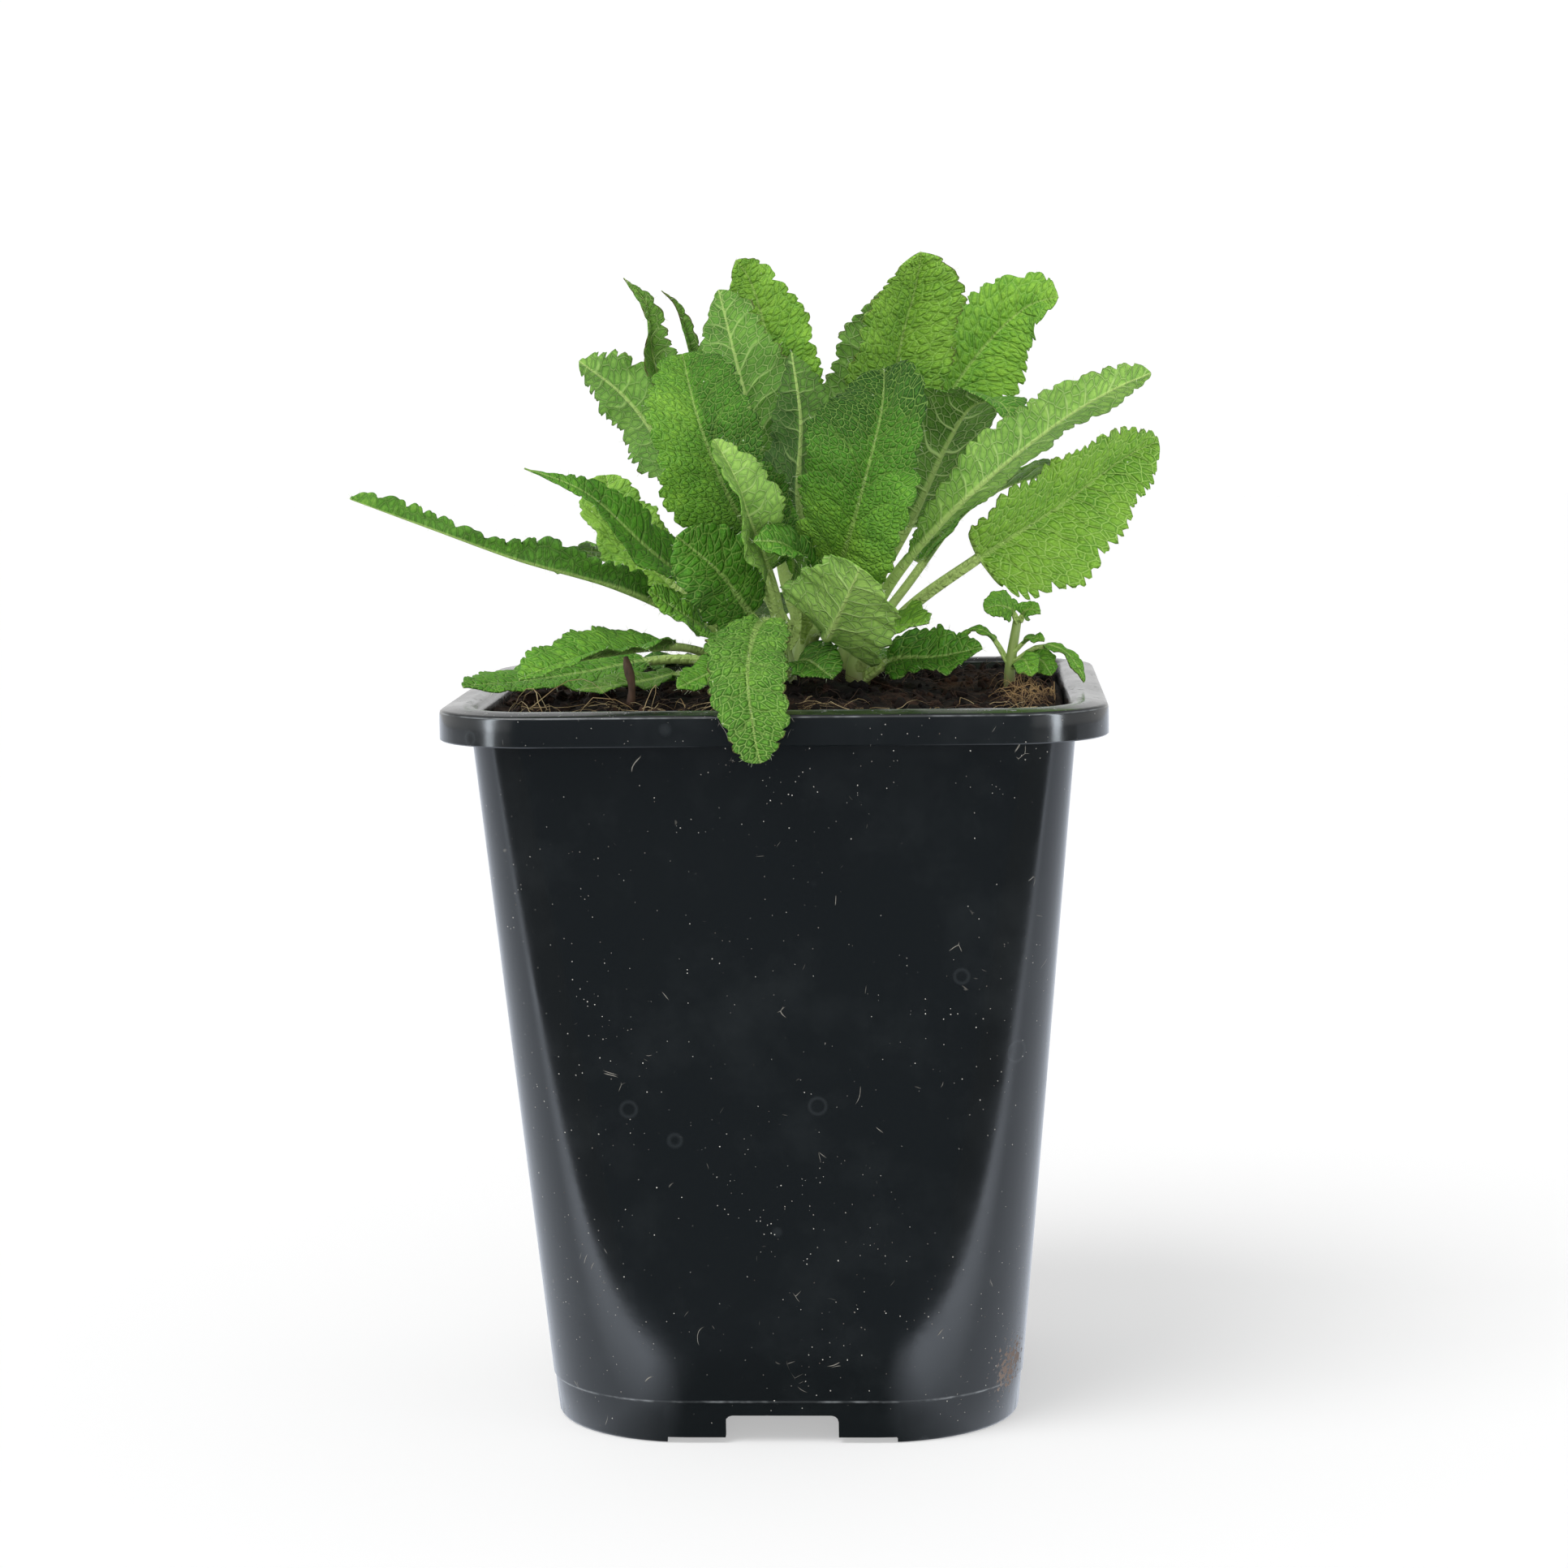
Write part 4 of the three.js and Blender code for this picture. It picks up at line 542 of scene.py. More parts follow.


# ---- The leaves ---------------------------------------------------------------------------
# Salvia leaves: a stalk with a channel on top runs on as the midrib of a long blade. Sunken
# veins quilt the upper side and stand out pale on the underside, and round teeth edge it.
# Each leaf grows from the side of a shoot. Half widths and places are in millimetres.

# Each leaf's tone and halves mix its own green with painted light and shade: leaves and halves are set
# lighter or darker as they lie to the light.
LEAVES = {
    "left_long": dict(
        slot="leaf_deep", shoot="west", up=130.8, faces=[(0, 0.3, 1), (0, 0.2, 1), (-0.2, 0.3, 0.9)],
        path=[
            (-15.5, -10.5, 136.6), (-26.5, -24, 143), (-41, -38, 148.5), (-55.5, -50, 155),
            (-65.5, -58, 159.5),
        ],
        half=4.5, teeth=11, blade=0.27, fold=48, base=0.3, tip=0.45, waist=(0.64, 0.55), wave=1, waves=3,
        serrate=2.2, relief=0.4, tone_and_shade=(0.15, 0.55), veins=0.35, looks=(1.0, 0.6),
    ),
    "left_lance": dict(
        slot="leaf_deep", shoot="west", up=132.6, faces=[(0.3, -0.62, 0.72), (0.3, -0.6, 0.74)],
        path=[(-13.5, -8, 140.5), (-22, -15, 148.5), (-32, -21, 158.5), (-41.5, -26, 163)],
        half=6, teeth=9, blade=0.3, fold=18, tip=1.4, relief=0.25, tone_and_shade=(0.35, 0.5), halves=(0.55, 0.45),
        veins=0.6,
    ),
    "left_oval": dict(
        slot="leaf_deep", shoot="north_west", up=131, faces=[(0.3, -0.6, 0.7), (0.3, -0.9, 0.3)],
        path=[(-14.5, 4.5, 137), (-23.5, 4, 145), (-29.5, 6, 153), (-31.5, 10, 160.5)],
        half=6.5, teeth=8, tip=0.45, tone_and_shade=(0.95, 0.9), looks=(0.8, 0.0),
    ),
    "left_face": dict(
        slot="leaf_deep", shoot="south", up=129, faces=[(-0.1, -0.8, 0.6), (-0.2, -0.9, 0.4)],
        path=[(-5, -15, 137.5), (-9.5, -23, 145), (-16, -29, 151.5)],
        half=7.5, teeth=8, blade=0.32, fold=10, tip=0.5, tone_and_shade=(0.35, 0.45), halves=(0.45, 0.5),
    ),
    "left_small": dict(
        slot="leaf_bright", shoot="west", up=129, faces=[(0, -0.5, 1), (0, -0.7, 0.7)],
        path=[(-12.3, -14.5, 134.6), (-21.5, -22.5, 142)],
        half=4.4, teeth=6, blade=0.38, tone_and_shade=(0.5, 0.65),
    ),
    "left_low": dict(
        slot="leaf_bright", shoot="west", up=127.5, faces=[(0, -0.2, 1), (0, -0.4, 1)],
        path=[(-16, -17.5, 132.3), (-26, -32, 132.6), (-34.5, -42, 131.5), (-40.5, -48, 129.5)],
        half=6.3, teeth=10, fold=25, tone_and_shade=(0.5, 0.65),
    ),
    "left_rim": dict(
        slot="leaf_bright", shoot="west", up=128.4, faces=[(0, -0.35, 0.94), (0, -0.3, 0.95)],
        path=[(-20.5, -2.5, 129), (-33, -9.5, 127.4), (-43.5, -18, 126.5), (-52.5, -27, 126.6)],
        half=7, teeth=10, blade=0.3, fold=4, tone_and_shade=(0.45, 0.55),
    ),
    "left_soil": dict(
        slot="leaf_pale", shoot="west", up=126.5, faces=[(0, -0.4, 1)],
        path=[(-15, -8.5, 127), (-25.5, -15.5, 125.8), (-33.5, -21.5, 125.3)],
        half=3.2, teeth=7, tone_and_shade=(0.4, 0.55), looks=(0.1, 1.0),
    ),
    "left_under": dict(
        slot="leaf_deep", shoot="north_west", up=126.5, faces=[(0, -0.2, 1)],
        path=[(-15, 7.5, 128), (-23, 8.5, 126.8), (-31, 8.5, 126)],
        half=4, teeth=6, tone_and_shade=(0.1, 0.25),
    ),
    "front_droop": dict(
        slot="leaf_deep", shoot="south", up=127, faces=[(0, -0.5, 1), (0, -1, 0.5)],
        path=[(0, -24, 136.3), (-2.2, -42, 137), (-3, -56, 130.5), (-1.8, -61.4, 122), (-0.8, -62.7, 117.2)],
        half=6.2, teeth=11, blade=0.42, fold=6, base=0.5, tip=0.45, relief=1.4, cell=1.0, tone_and_shade=(0.62, 0.42),
        brown=0.9, veins=1.2, looks=(0.75, 0.0),
    ),
    "front_under": dict(
        slot="leaf_pale", shoot="centre", up=129, faces=[(0.45, 0.55, 0.7), (0.5, 0.6, 0.6)],
        path=[(6.4, -14, 134.4), (8, -21, 134.8), (8.8, -27, 134.4), (11.6, -34, 139.8), (14.7, -41, 146.6)],
        half=9.4, teeth=8, blade=0.55, fold=8, base=0.3, tip=0.5, lobes=0.3, serrate=0.8, relief=0.15,
        tone_and_shade=(0.75, 0.8),
    ),
    "front_small": dict(
        slot="leaf_deep", shoot="south", up=125, faces=[(-0.2, -0.6, 0.8), (-0.2, -0.8, 0.6)],
        path=[(-5.5, -20, 129), (-9.5, -27, 129), (-16, -33, 126.5)],
        half=3.8, teeth=6, tone_and_shade=(0.5, 0.65),
    ),
    "front_soil": dict(
        slot="leaf_deep", shoot="south", up=126, faces=[(0, -0.8, 0.6), (0, -0.6, 0.8)],
        path=[(4.5, -19, 129.8), (9.5, -28, 127.5)],
        half=5, teeth=6, blade=0.3, tone_and_shade=(0.2, 0.35),
    ),
    "front_wavy": dict(
        slot="leaf_bright", shoot="centre", up=130.5, faces=[(0, -0.9, 0.4), (0, -0.9, 0.5)],
        path=[(4.6, -12, 139.5), (3.5, -23, 147.5), (1, -30.5, 150.3), (-3, -34, 150.8)],
        half=4, teeth=6, blade=0.5, wave=0.8, serrate=1.5, tone_and_shade=(0.25, 0.5),
    ),
    "front_twisted": dict(
        slot="leaf_pale", shoot="south", up=130, faces=[(0.4, -0.8, 0.2), (0.7, -0.7, 0), (0.7, -0.6, 0.3)],
        path=[(-0.3, -17, 140), (-2.2, -25, 148.5), (-4.2, -30, 155), (-6, -32.5, 161), (-9.5, -31, 167.5)],
        half=6, teeth=8, blade=0.42, fold=32, wave=0.9, serrate=1.4, relief=0.35, tone_and_shade=(0.6, 0.8),
        halves=(0.5, 0.6), looks=(0.1, 1.0),
    ),
    "front_spear": dict(
        slot="leaf_pale", shoot="south", up=130, faces=[(0, -1, 0)],
        path=[(2.8, -10.6, 134), (2.9, -11.4, 139.5), (2.3, -12.8, 150), (1.2, -14.5, 158.5)],
        half=1.6, teeth=4, blade=0.5, stalk=0.7, tone_and_shade=(0.5, 0.6),
    ),
    "front_big": dict(
        slot="leaf_deep", shoot="centre", up=132, faces=[(-0.3, -0.9, 0.2), (-0.35, -0.93, 0)],
        path=[(9.2, -10, 142), (12.8, -21.5, 152), (16, -27, 163), (18.3, -27, 172.6), (18.6, -22.5, 178.6)],
        half=10.5, teeth=11, blade=0.28, fold=18, tip=0.4, relief=0.7, cell=0.85, tone_and_shade=(1.3, 0.0),
        halves=(0.3, 0.4),
    ),
    "front_keel": dict(
        slot="leaf_pale", shoot="centre", up=133.3, faces=[(-0.1, 1, 0.1), (0.1, 1, 0.1)],
        path=[(4.8, -5.5, 145), (3.4, -10, 157), (4, -11, 170), (2.5, -8, 181.5)],
        half=8.5, teeth=10, blade=0.3, fold=42, tip=0.7, tone_and_shade=(0.25, 0.4), halves=(0.5, 0.2), veins=0.6,
    ),
    "front_left": dict(
        slot="leaf_bright", shoot="south", up=133, faces=[(0.1, -0.95, 0.2), (0.15, -0.95, 0.1)],
        path=[(-2, -11.5, 142), (-5, -16.5, 151), (-9.5, -22, 161.5), (-13, -23, 172), (-15.5, -18, 181.5)],
        half=9.5, teeth=12, blade=0.22, fold=18, tip=0.42, relief=0.7, cell=0.85, tone_and_shade=(0.55, 0.6),
        halves=(0.6, 0.2),
    ),
    "top_veined": dict(
        slot="leaf_pale", shoot="centre", up=132, faces=[(0.3, 0.95, 0), (0.35, 0.94, 0)],
        path=[(0.8, 0.5, 141), (-1, 0.8, 151), (-3.5, 0, 165), (-7, 0, 178.5), (-10.5, 3, 192.5)],
        half=9, teeth=12, blade=0.35, fold=18, serrate=1.2, cell=1.15, tone_and_shade=(0.3, 0.5), halves=(0.5, 0.45),
        brown=0.8, veins=1.3, looks=(1.0, 0.4),
    ),
    "top_left": dict(
        slot="leaf_bright", shoot="north", up=133, faces=[(0.1, -0.95, 0.2)],
        path=[(0.8, 9.5, 151), (-0.4, 9.5, 169), (-2.6, 9.5, 184), (-5.4, 8.5, 194), (-7.6, 6, 197.6)],
        half=7.8, teeth=12, fold=10, relief=0.55, cell=1.1, tone_and_shade=(0.72, 0.9), brown=0.5,
    ),
    "top_narrow": dict(
        slot="leaf_pale", shoot="north_west", up=133.5, faces=[(0.5, -0.8, 0), (0.6, -0.8, 0)],
        path=[(-11, 11.5, 148), (-19, 17, 165), (-23.5, 18, 181), (-24.5, 16, 190.5), (-28, 14, 195)],
        half=5.5, teeth=11, fold=48, tip=1, wave=1, waves=3, serrate=1.6, tone_and_shade=(0.5, 0.55), brown=0.8,
        looks=(0.1, 1.0),
    ),
    "top_curled": dict(
        slot="leaf_pale", shoot="north", up=130.5, faces=[(0.5, -0.8, 0), (0.6, -0.8, 0)],
        path=[
            (-2.5, 10.5, 138), (-6, 12, 147), (-13, 14, 168), (-17, 15, 184), (-18.5, 13, 190),
            (-21, 10.5, 192.6),
        ],
        half=3.6, teeth=10, blade=0.45, fold=55, tip=1.1, serrate=1.4, tone_and_shade=(0.5, 0.55), brown=0.8,
        looks=(0.1, 1.0),
    ),
    "left_pale": dict(
        slot="leaf_pale", shoot="north_west", up=131, faces=[(0, 1, 0.2), (0.2, 1, 0.3)],
        path=[(-11, 15, 140), (-17, 22, 155), (-23.5, 26, 166.5), (-30, 29, 174.5), (-38, 32, 180.6)],
        half=6.6, teeth=10, blade=0.56, fold=18, wave=1, serrate=2.2, relief=0.25, tone_and_shade=(0.52, 0.64),
        brown=0.6, veins=0.7, looks=(1.0, 0.2),
    ),
    "top_right": dict(
        slot="leaf_deep", shoot="north_east", up=133.5, faces=[(0.4, -0.9, 0.1)],
        path=[(14, 9, 151), (18, 10, 170), (21, 8, 184), (23.5, 6, 193), (24.5, 3, 198.4)],
        half=9.5, teeth=12, fold=22, tip=0.4, relief=0.9, cell=1.2, tone_and_shade=(0.8, 0.95), brown=0.7, veins=1.4,
    ),
    "top_back": dict(
        slot="leaf_pale", shoot="north", up=130, faces=[(0, 1, 0.2), (-0.2, 1, 0.2)],
        path=[(5.6, 13.5, 139), (9, 18, 150), (12.5, 22, 166), (17, 23, 182), (20.5, 21, 193)],
        half=8.2, teeth=12, fold=12, tone_and_shade=(0.3, 0.55), brown=0.6,
    ),
    "top_far_right": dict(
        slot="leaf_bright", shoot="north_east", up=129.5, faces=[(0.1, -0.95, 0.2), (0, -0.95, 0.4)],
        path=[(16.5, 12, 143), (27, 20, 170), (35.5, 19, 182.3), (43, 15, 189), (48.2, 11, 190.6)],
        half=9, teeth=12, blade=0.35, fold=10, tip=0.5, serrate=1.2, tone_and_shade=(0.72, 0.85),
    ),
    "right_shadow": dict(
        slot="leaf_pale", shoot="east", up=130.8,
        faces=[(-0.3, 0.9, 0.2), (-0.3, 0.9, 0.3), (0.2, -0.2, 1)],
        path=[
            (16, -6.5, 141), (23, -11, 154), (29, -13, 166.5), (33, -16.5, 172.3), (37.5, -23, 172.8),
            (40.5, -27, 168.5),
        ],
        half=8, teeth=10, blade=0.38, fold=12, relief=0.3, tone_and_shade=(0.3, 0.35), veins=1.4,
    ),
    "right_long": dict(
        slot="leaf_pale", shoot="east", up=129, faces=[(-0.3, 0.87, 0.4)],
        path=[(18, -14, 141), (30, -25, 155.5), (47.5, -33, 170), (57, -36, 175.5), (62, -37, 177.5)],
        half=5.5, teeth=12, blade=0.3, fold=32, base=0.85, serrate=1.6, relief=0.25, tone_and_shade=(0.62, 0.74),
        brown=0.4, looks=(1.0, 0.15),
    ),
    "right_fan": dict(
        slot="leaf_bright", shoot="east", up=127, faces=[(0.2, -0.9, -0.2), (0.27, -0.88, -0.39)],
        path=[(21.5, -5, 137), (34, -5.5, 146), (48.5, 0, 155), (60, 5, 163), (65.5, 7.5, 165.5)],
        half=11.5, teeth=13, blade=0.42, fold=28, base=0.28, serrate=1.25, relief=0.65, tone_and_shade=(0.92, 0.8),
        brown=0.3, veins=2.2,
    ),
    "right_small": dict(
        slot="leaf_bright", shoot="east", up=126.5, faces=[(0.1, -0.6, 0.8), (0.2, -0.7, 0.7)],
        path=[(17, -15, 134), (25.5, -25, 136.5)],
        half=5.4, teeth=5, blade=0.35, tone_and_shade=(0.8, 0.9),
    ),
    "right_soil": dict(
        slot="leaf_deep", shoot="east", up=125, faces=[(0, -0.8, 0.6), (0, -0.6, 0.8)],
        path=[(19.5, -10, 129), (27, -13, 129.7), (34.5, -15, 131.3)],
        half=5.5, teeth=8, blade=0.3, fold=18, wave=0.8, tone_and_shade=(0.3, 0.45),
    ),
    "back_left": dict(
        slot="leaf_bright", shoot="north_west", up=128.6, faces=[(0, 0.3, 1), (-0.2, 0.2, 1)],
        path=[(-12.5, 20, 136), (-24, 32, 143), (-36, 43, 144), (-45, 51, 141)],
        half=9, teeth=10, blade=0.35,
    ),
    "back_middle": dict(
        slot="leaf_deep", shoot="north", up=128.4, faces=[(0, -0.5, 1), (0, 0.1, 1)],
        path=[(6.5, 21, 139), (13, 34, 150), (18, 46, 154.5), (22, 56, 152.5)],
        half=9, teeth=11, blade=0.35,
    ),
    "back_right": dict(
        slot="leaf_bright", shoot="north_east", up=127.5, faces=[(-0.3, 0, 1), (0, 0.2, 1)],
        path=[(20.5, 14, 139.5), (33, 24, 154), (46, 31, 159), (58, 37, 157)],
        half=8.5, teeth=11, blade=0.35,
    ),
    "back_droop": dict(
        slot="leaf_deep", shoot="north", up=127, faces=[(0, 0.3, 1), (0, 1, 0.5)],
        path=[(-2.5, 24, 136), (-6.5, 42, 136.5), (-9, 56, 130.5), (-9.5, 61.5, 123), (-9.5, 63, 118)],
        half=7, teeth=11, tip=0.5,
    ),
    "back_soil": dict(
        slot="leaf_deep", shoot="north_east", up=125.5, faces=[(0, 0, 1)],
        path=[(19, 16, 127.6), (30, 27, 126.6)],
        half=5, teeth=7, blade=0.3,
    ),
}

STALK_HALF, BLADE_THICK, LEAF_STEP, VEINS_APART = 1.0, 0.36, 0.42, 4.6
SLANT = 0.07  # how far ahead of its place on the midrib a point of the margin lies
TOOTH_DEEP, NICK_DEEP = 0.14, 0.035  # shares of the half width
QUILT_SWELL, QUILT_GROOVE, QUILT_ARCH = 0.26, 0.28, 0.3


def outline(t, base, tip, waist=(0.5, 0.0)):
    """Half width of the blade, from 0 to 1, a share t of the way from its base to its tip. A
    waist is the place of a narrow part and how much of the width it takes away."""
    peak = base / (base + tip)
    narrow = 1 - waist[1] * np.exp(-(((t - waist[0]) / 0.18) ** 2))
    return t**base * (1 - t) ** tip / (peak**base * (1 - peak) ** tip) * narrow


def unit(vectors):
    return vectors / np.linalg.norm(vectors, axis=-1, keepdims=True)


# The pattern of the vein net, for the relief of the skin and for its material.
NET = {"voronoi_dimensions": "2D", "feature": "DISTANCE_TO_EDGE"}


def net_group():
    """Geometry nodes that store, at each point, its distance to the nearest vein of the net."""
    tree = bpy.data.node_groups.new("vein_net", "GeometryNodeTree")
    for in_out in ("INPUT", "OUTPUT"):
        tree.interface.new_socket("Geometry", in_out=in_out, socket_type="NodeSocketGeometry")
    add = partial(add_node, tree)
    place = add("GeometryNodeInputPosition")
    cells = add("TexVoronoi", {"Vector": place, "Scale": 1.0}, **NET)
    stored = {"Geometry": add("NodeGroupInput"), "Name": "edge", "Value": cells}
    add("NodeGroupOutput", {"Geometry": add("GeometryNodeStoreNamedAttribute", stored)})
    return tree


vein_net = net_group()


def net_distance(flat_places):
    """Distance of each place on the leaf to the net, in cells."""
    mesh = bpy.data.meshes.new("net")
    mesh.vertices.add(flat_places.size // 3)
    mesh.vertices.foreach_set("co", flat_places.astype(np.float32).ravel())
    carrier = put("net", mesh)
    carrier.modifiers.new("net", "NODES").node_group = vein_net
    graph = bpy.context.evaluated_depsgraph_get()
    found = np.zeros(flat_places.shape[:-1], np.float32)
    carrier.evaluated_get(graph).data.attributes["edge"].data.foreach_get("value", found.ravel())
    bpy.data.objects.remove(carrier)
    bpy.data.meshes.remove(mesh)
    return found


def leaf_skin(
    path, faces, half, teeth, seed, blade=0.4, fold=15, base=0.42, tip=0.6, waist=(0.5, 0.0), wave=0.6,
    waves=2, stalk=STALK_HALF, lobes=0.0, serrate=1.0, relief=0.5, cell=1.3, tone_and_shade=(0.5, 0.5),
    halves=(0.5, 0.5), brown=0.0, veins=1.0, looks=(1.0, 0.0), step=LEAF_STEP,
):
    """A leaf as one closed skin, from the foot of its stalk to the tip of its blade.
    "path" is its midrib, "faces" where its upper side looks along it, "blade" the share of
    the path at which the blade begins, "fold" its angle at the midrib in degrees, "lobes" how far
    the base reaches back along the stalk, "cell" the width of the net's cells, "tone_and_shade" how
    bright the green is at base and tip, "halves" on the left and the right half, and "looks"
    how much each of its two faces looks like the upper side of a leaf. The brightness at base, tip
    and on each half is partly the leaf's own green and partly painted light and shade."""
    random = np.random.default_rng(seed)
    places, along, length = midline(path)
    face = unit(np.array(faces, float))
    blade_long = length * (1 - blade)

    # Sections: wide apart on the stalk, close where the margin runs steeply.
    fine = np.linspace(0, 1, 4001)[1:-1]
    steep = np.minimum(np.abs(np.gradient(half * outline(fine, base, tip, waist), fine)), 4 * blade_long)
    run = np.cumsum(np.hypot(steep, blade_long)) * (fine[1] - fine[0])
    t_blade = np.interp(np.linspace(run[0], run[-1], int(run[-1] / step)), run, fine)
    stalk_steps = max(5, int(length * blade / 1.6))
    t_stalk = np.linspace(-blade * length / blade_long, -0.012, stalk_steps)
    t = np.concatenate([t_stalk, [0.0], t_blade, [1.0]])
    on_blade = np.clip(t, 0, 1)
    open_out = np.clip((t + 0.01) / 0.02, 0, 1)

    # Columns: from the left margin over the top to the right one and back underneath.
    columns = int(np.clip(half / step, 6, 30))
    q = (np.arange(columns + 1) / columns) ** 1.25
    across_up = np.concatenate([-q[::-1], q[1:]])
    across = np.concatenate([across_up, across_up[::-1]])
    upper = np.concatenate([np.ones(len(across_up)), np.zeros(len(across_up))])
    side = np.where(across < 0, -1.0, 1.0)
    q = np.abs(across)

    t_rib = t[:, None] * np.ones_like(q)
    lean = (SLANT * np.sin(math.pi * on_blade) - lobes * (1 - on_blade) ** 5)[:, None] * q
    t_at = np.where(t_rib > 0, np.minimum(t_rib + lean, 1.0), t_rib)
    t_margin = np.minimum(on_blade + SLANT * np.sin(math.pi * on_blade), 1.0)[:, None]

    # The margin: a smooth outline with round teeth, each with a size of its own.
    smooth_half = half * outline(np.clip(t_margin, 1e-6, 1 - 1e-6), base, tip, waist)
    smooth_half = np.where((t_margin > 0) & (t_margin < 1), smooth_half, 0)
    sizes = random.uniform(0.55, 1.3, (2, teeth * 3))
    count = round(teeth * 1.5)
    hand = ((side + 1) / 2).astype(int)[None, :] * np.ones_like(t_margin, int)
    tooth_at = t_margin * count + np.array([0.15, 0.62])[hand] + 0.25 * np.sin(t_margin * 23 + seed)
    part = tooth_at % 1
    lobe = 1 - np.abs(2 * part**0.8 - 1) ** 3
    nick = 1 - np.abs(2 * ((tooth_at * 2 + 0.3) % 1) - 1) ** 2
    size = sizes[hand, tooth_at.astype(int) % sizes.shape[1]]
    room = np.clip(smooth_half / (0.45 * half), 0, 1)
    ragged = 1 + (0.075 * np.sin(t_margin * 9 + seed) + 0.065 * np.sin(t_margin * 23 + 2.3 * seed)) * side
    tooth = (TOOTH_DEEP * half * serrate * size * (lobe - 0.62) + NICK_DEEP * half * serrate * nick) * room
    rib_half = stalk * np.interp(t, [t[0], 0, 0.5, 1], [1.1, 0.85, 0.4, 0.18])[:, None]
    width = np.maximum(smooth_half * ragged, rib_half * (1 - 0.6 * (t[:, None] > 0.9)))
    x = width * q + np.where(t_margin > 0, tooth * q**5, 0)

    # The blade's own form: folded along the midrib, arched halves, waves along the margin.
    angle = math.radians(fold) * open_out[:, None]
    start = np.where(side > 0, 2.1, 0.0)
    shape_at = np.clip(outline(np.clip(t_at, 1e-6, 1 - 1e-6), base, tip, waist), 0, 1) * (t_at > 0)
    lift = wave * shape_at * np.sin(2 * math.pi * waves * t_at + start) * q**1.35
    phases = random.uniform(0, 6.3, 4)
    ruffle = np.sin(t_at * 29 + phases[0] + side) + 0.8 * np.sin(t_at * 47 + phases[1] - 2 * side)
    lift = lift + 0.3 * ruffle * shape_at * min(1, half / 8) * q**2.2
    lift = lift + 0.32 * min(1, half / 8) * np.sin(math.pi * np.clip(q, 0, 1)) * shape_at

    # Side veins lie every few millimetres; a net of cells fills the strips between them.
    a = t_at * blade_long
    spacing = blade_long / max(5, round(blade_long / VEINS_APART))
    bent = 0.22 * np.sin(a * 0.35 + phases[2] + side) + 0.12 * np.sin(x * 0.9 + phases[3])
    vein_at = (a - 0.5 * x - 0.035 * x**2) / spacing + bent + np.where(side > 0, 0.5, 0.0)
    to_vein = np.abs(vein_at - np.round(vein_at)) * spacing * 0.8
    net = np.stack([(a - 0.45 * x) / cell + 3.7 * seed, side * x / (1.4 * cell) + 20, 0 * x], axis=-1)
    to_net = net_distance(net) * cell
    net[..., 2] = veins
    swell = 1 - np.exp(-((to_net / 0.42) ** 2))
    groove = np.exp(-((to_vein / 0.42) ** 2)) * (1 - 0.6 * q)
    inside = np.clip((x - rib_half) / 0.8, 0, 1) * np.clip((width - x) / 0.5, 0.25, 1)
    arched = QUILT_ARCH * np.sin(np.minimum(to_vein / 1.6, 1) * math.pi / 2)
    quilt = relief * (QUILT_SWELL * swell - QUILT_GROOVE * groove + arched) * inside
    lift = lift + np.where(t_rib > 0, quilt, 0)

    # Thickness, with the rib and the main veins proud of the underside.
    thick = BLADE_THICK * (1 - 0.4 * q**2)
    round_rib = np.sqrt(np.clip(1 - (x / (1.15 * rib_half)) ** 2, 0, 1))
    rib_deep = np.interp(t, [t[0], 0, 0.3, 1], [0.85, 0.75, 0.45, 0.12])[:, None] * stalk
    opened = open_out[:, None]
    above = thick / 2 + (1 - opened) * (0.4 * rib_half * round_rib - 0.3 * np.exp(-((x / 0.35) ** 2)))
    above = above - opened * 0.12 * np.exp(-((x / (0.7 * rib_half)) ** 2))
    below = thick / 2 + rib_deep * round_rib
    below = below + opened * 0.13 * np.exp(-((to_vein / 0.3) ** 2)) * (1 - q) * inside
    lift = lift + np.where(upper > 0, above, -below)

    share = np.clip(blade + t_at * (1 - blade), 0, 1)
    at = at_share(places, share)
    way = at_share(along, share)
    out = at_share(face, share)
    out = unit(out - way * np.sum(out * way, axis=-1, keepdims=True))
    right = np.cross(way, out)
    bend = x / np.sqrt(x**2 + 0.6**2)
    rise = np.sin(angle) * (np.sqrt(x**2 + 0.6**2) - 0.6)
    normal = unit(out * np.cos(angle)[..., None] - right * (side * np.sin(angle) * bend)[..., None])
    points = at + right * (side * x * np.cos(angle))[..., None] + out * rise[..., None]
    points = points + normal * lift[..., None]

    # Painted light and shade mixed into the green: lighter or darker from base to tip and on each half, as
    # the leaf lies to the light.
    green = tone_and_shade[0] + (tone_and_shade[1] - tone_and_shade[0]) * np.clip(t_at, 0, 1)
    green = green + np.where(side < 0, halves[0] - 0.5, halves[1] - 0.5) * np.clip(x / 1.5, 0, 1)
    ones = np.ones_like(x)
    values = {
        "net": net,
        "vein": np.stack([vein_at, x, rib_half * ones], axis=-1),
        "place": np.stack([t_rib, q * ones, (looks[1] + (looks[0] - looks[1]) * upper) * ones], axis=-1),
        "look": np.stack([green, brown * ones, relief * ones], axis=-1),
    }
    return skin(points, values)


UPPER = ("#25520F", "#508E26", "#8ABE40")
LOWER = ("#2E5814", "#649438", "#9CC65F")


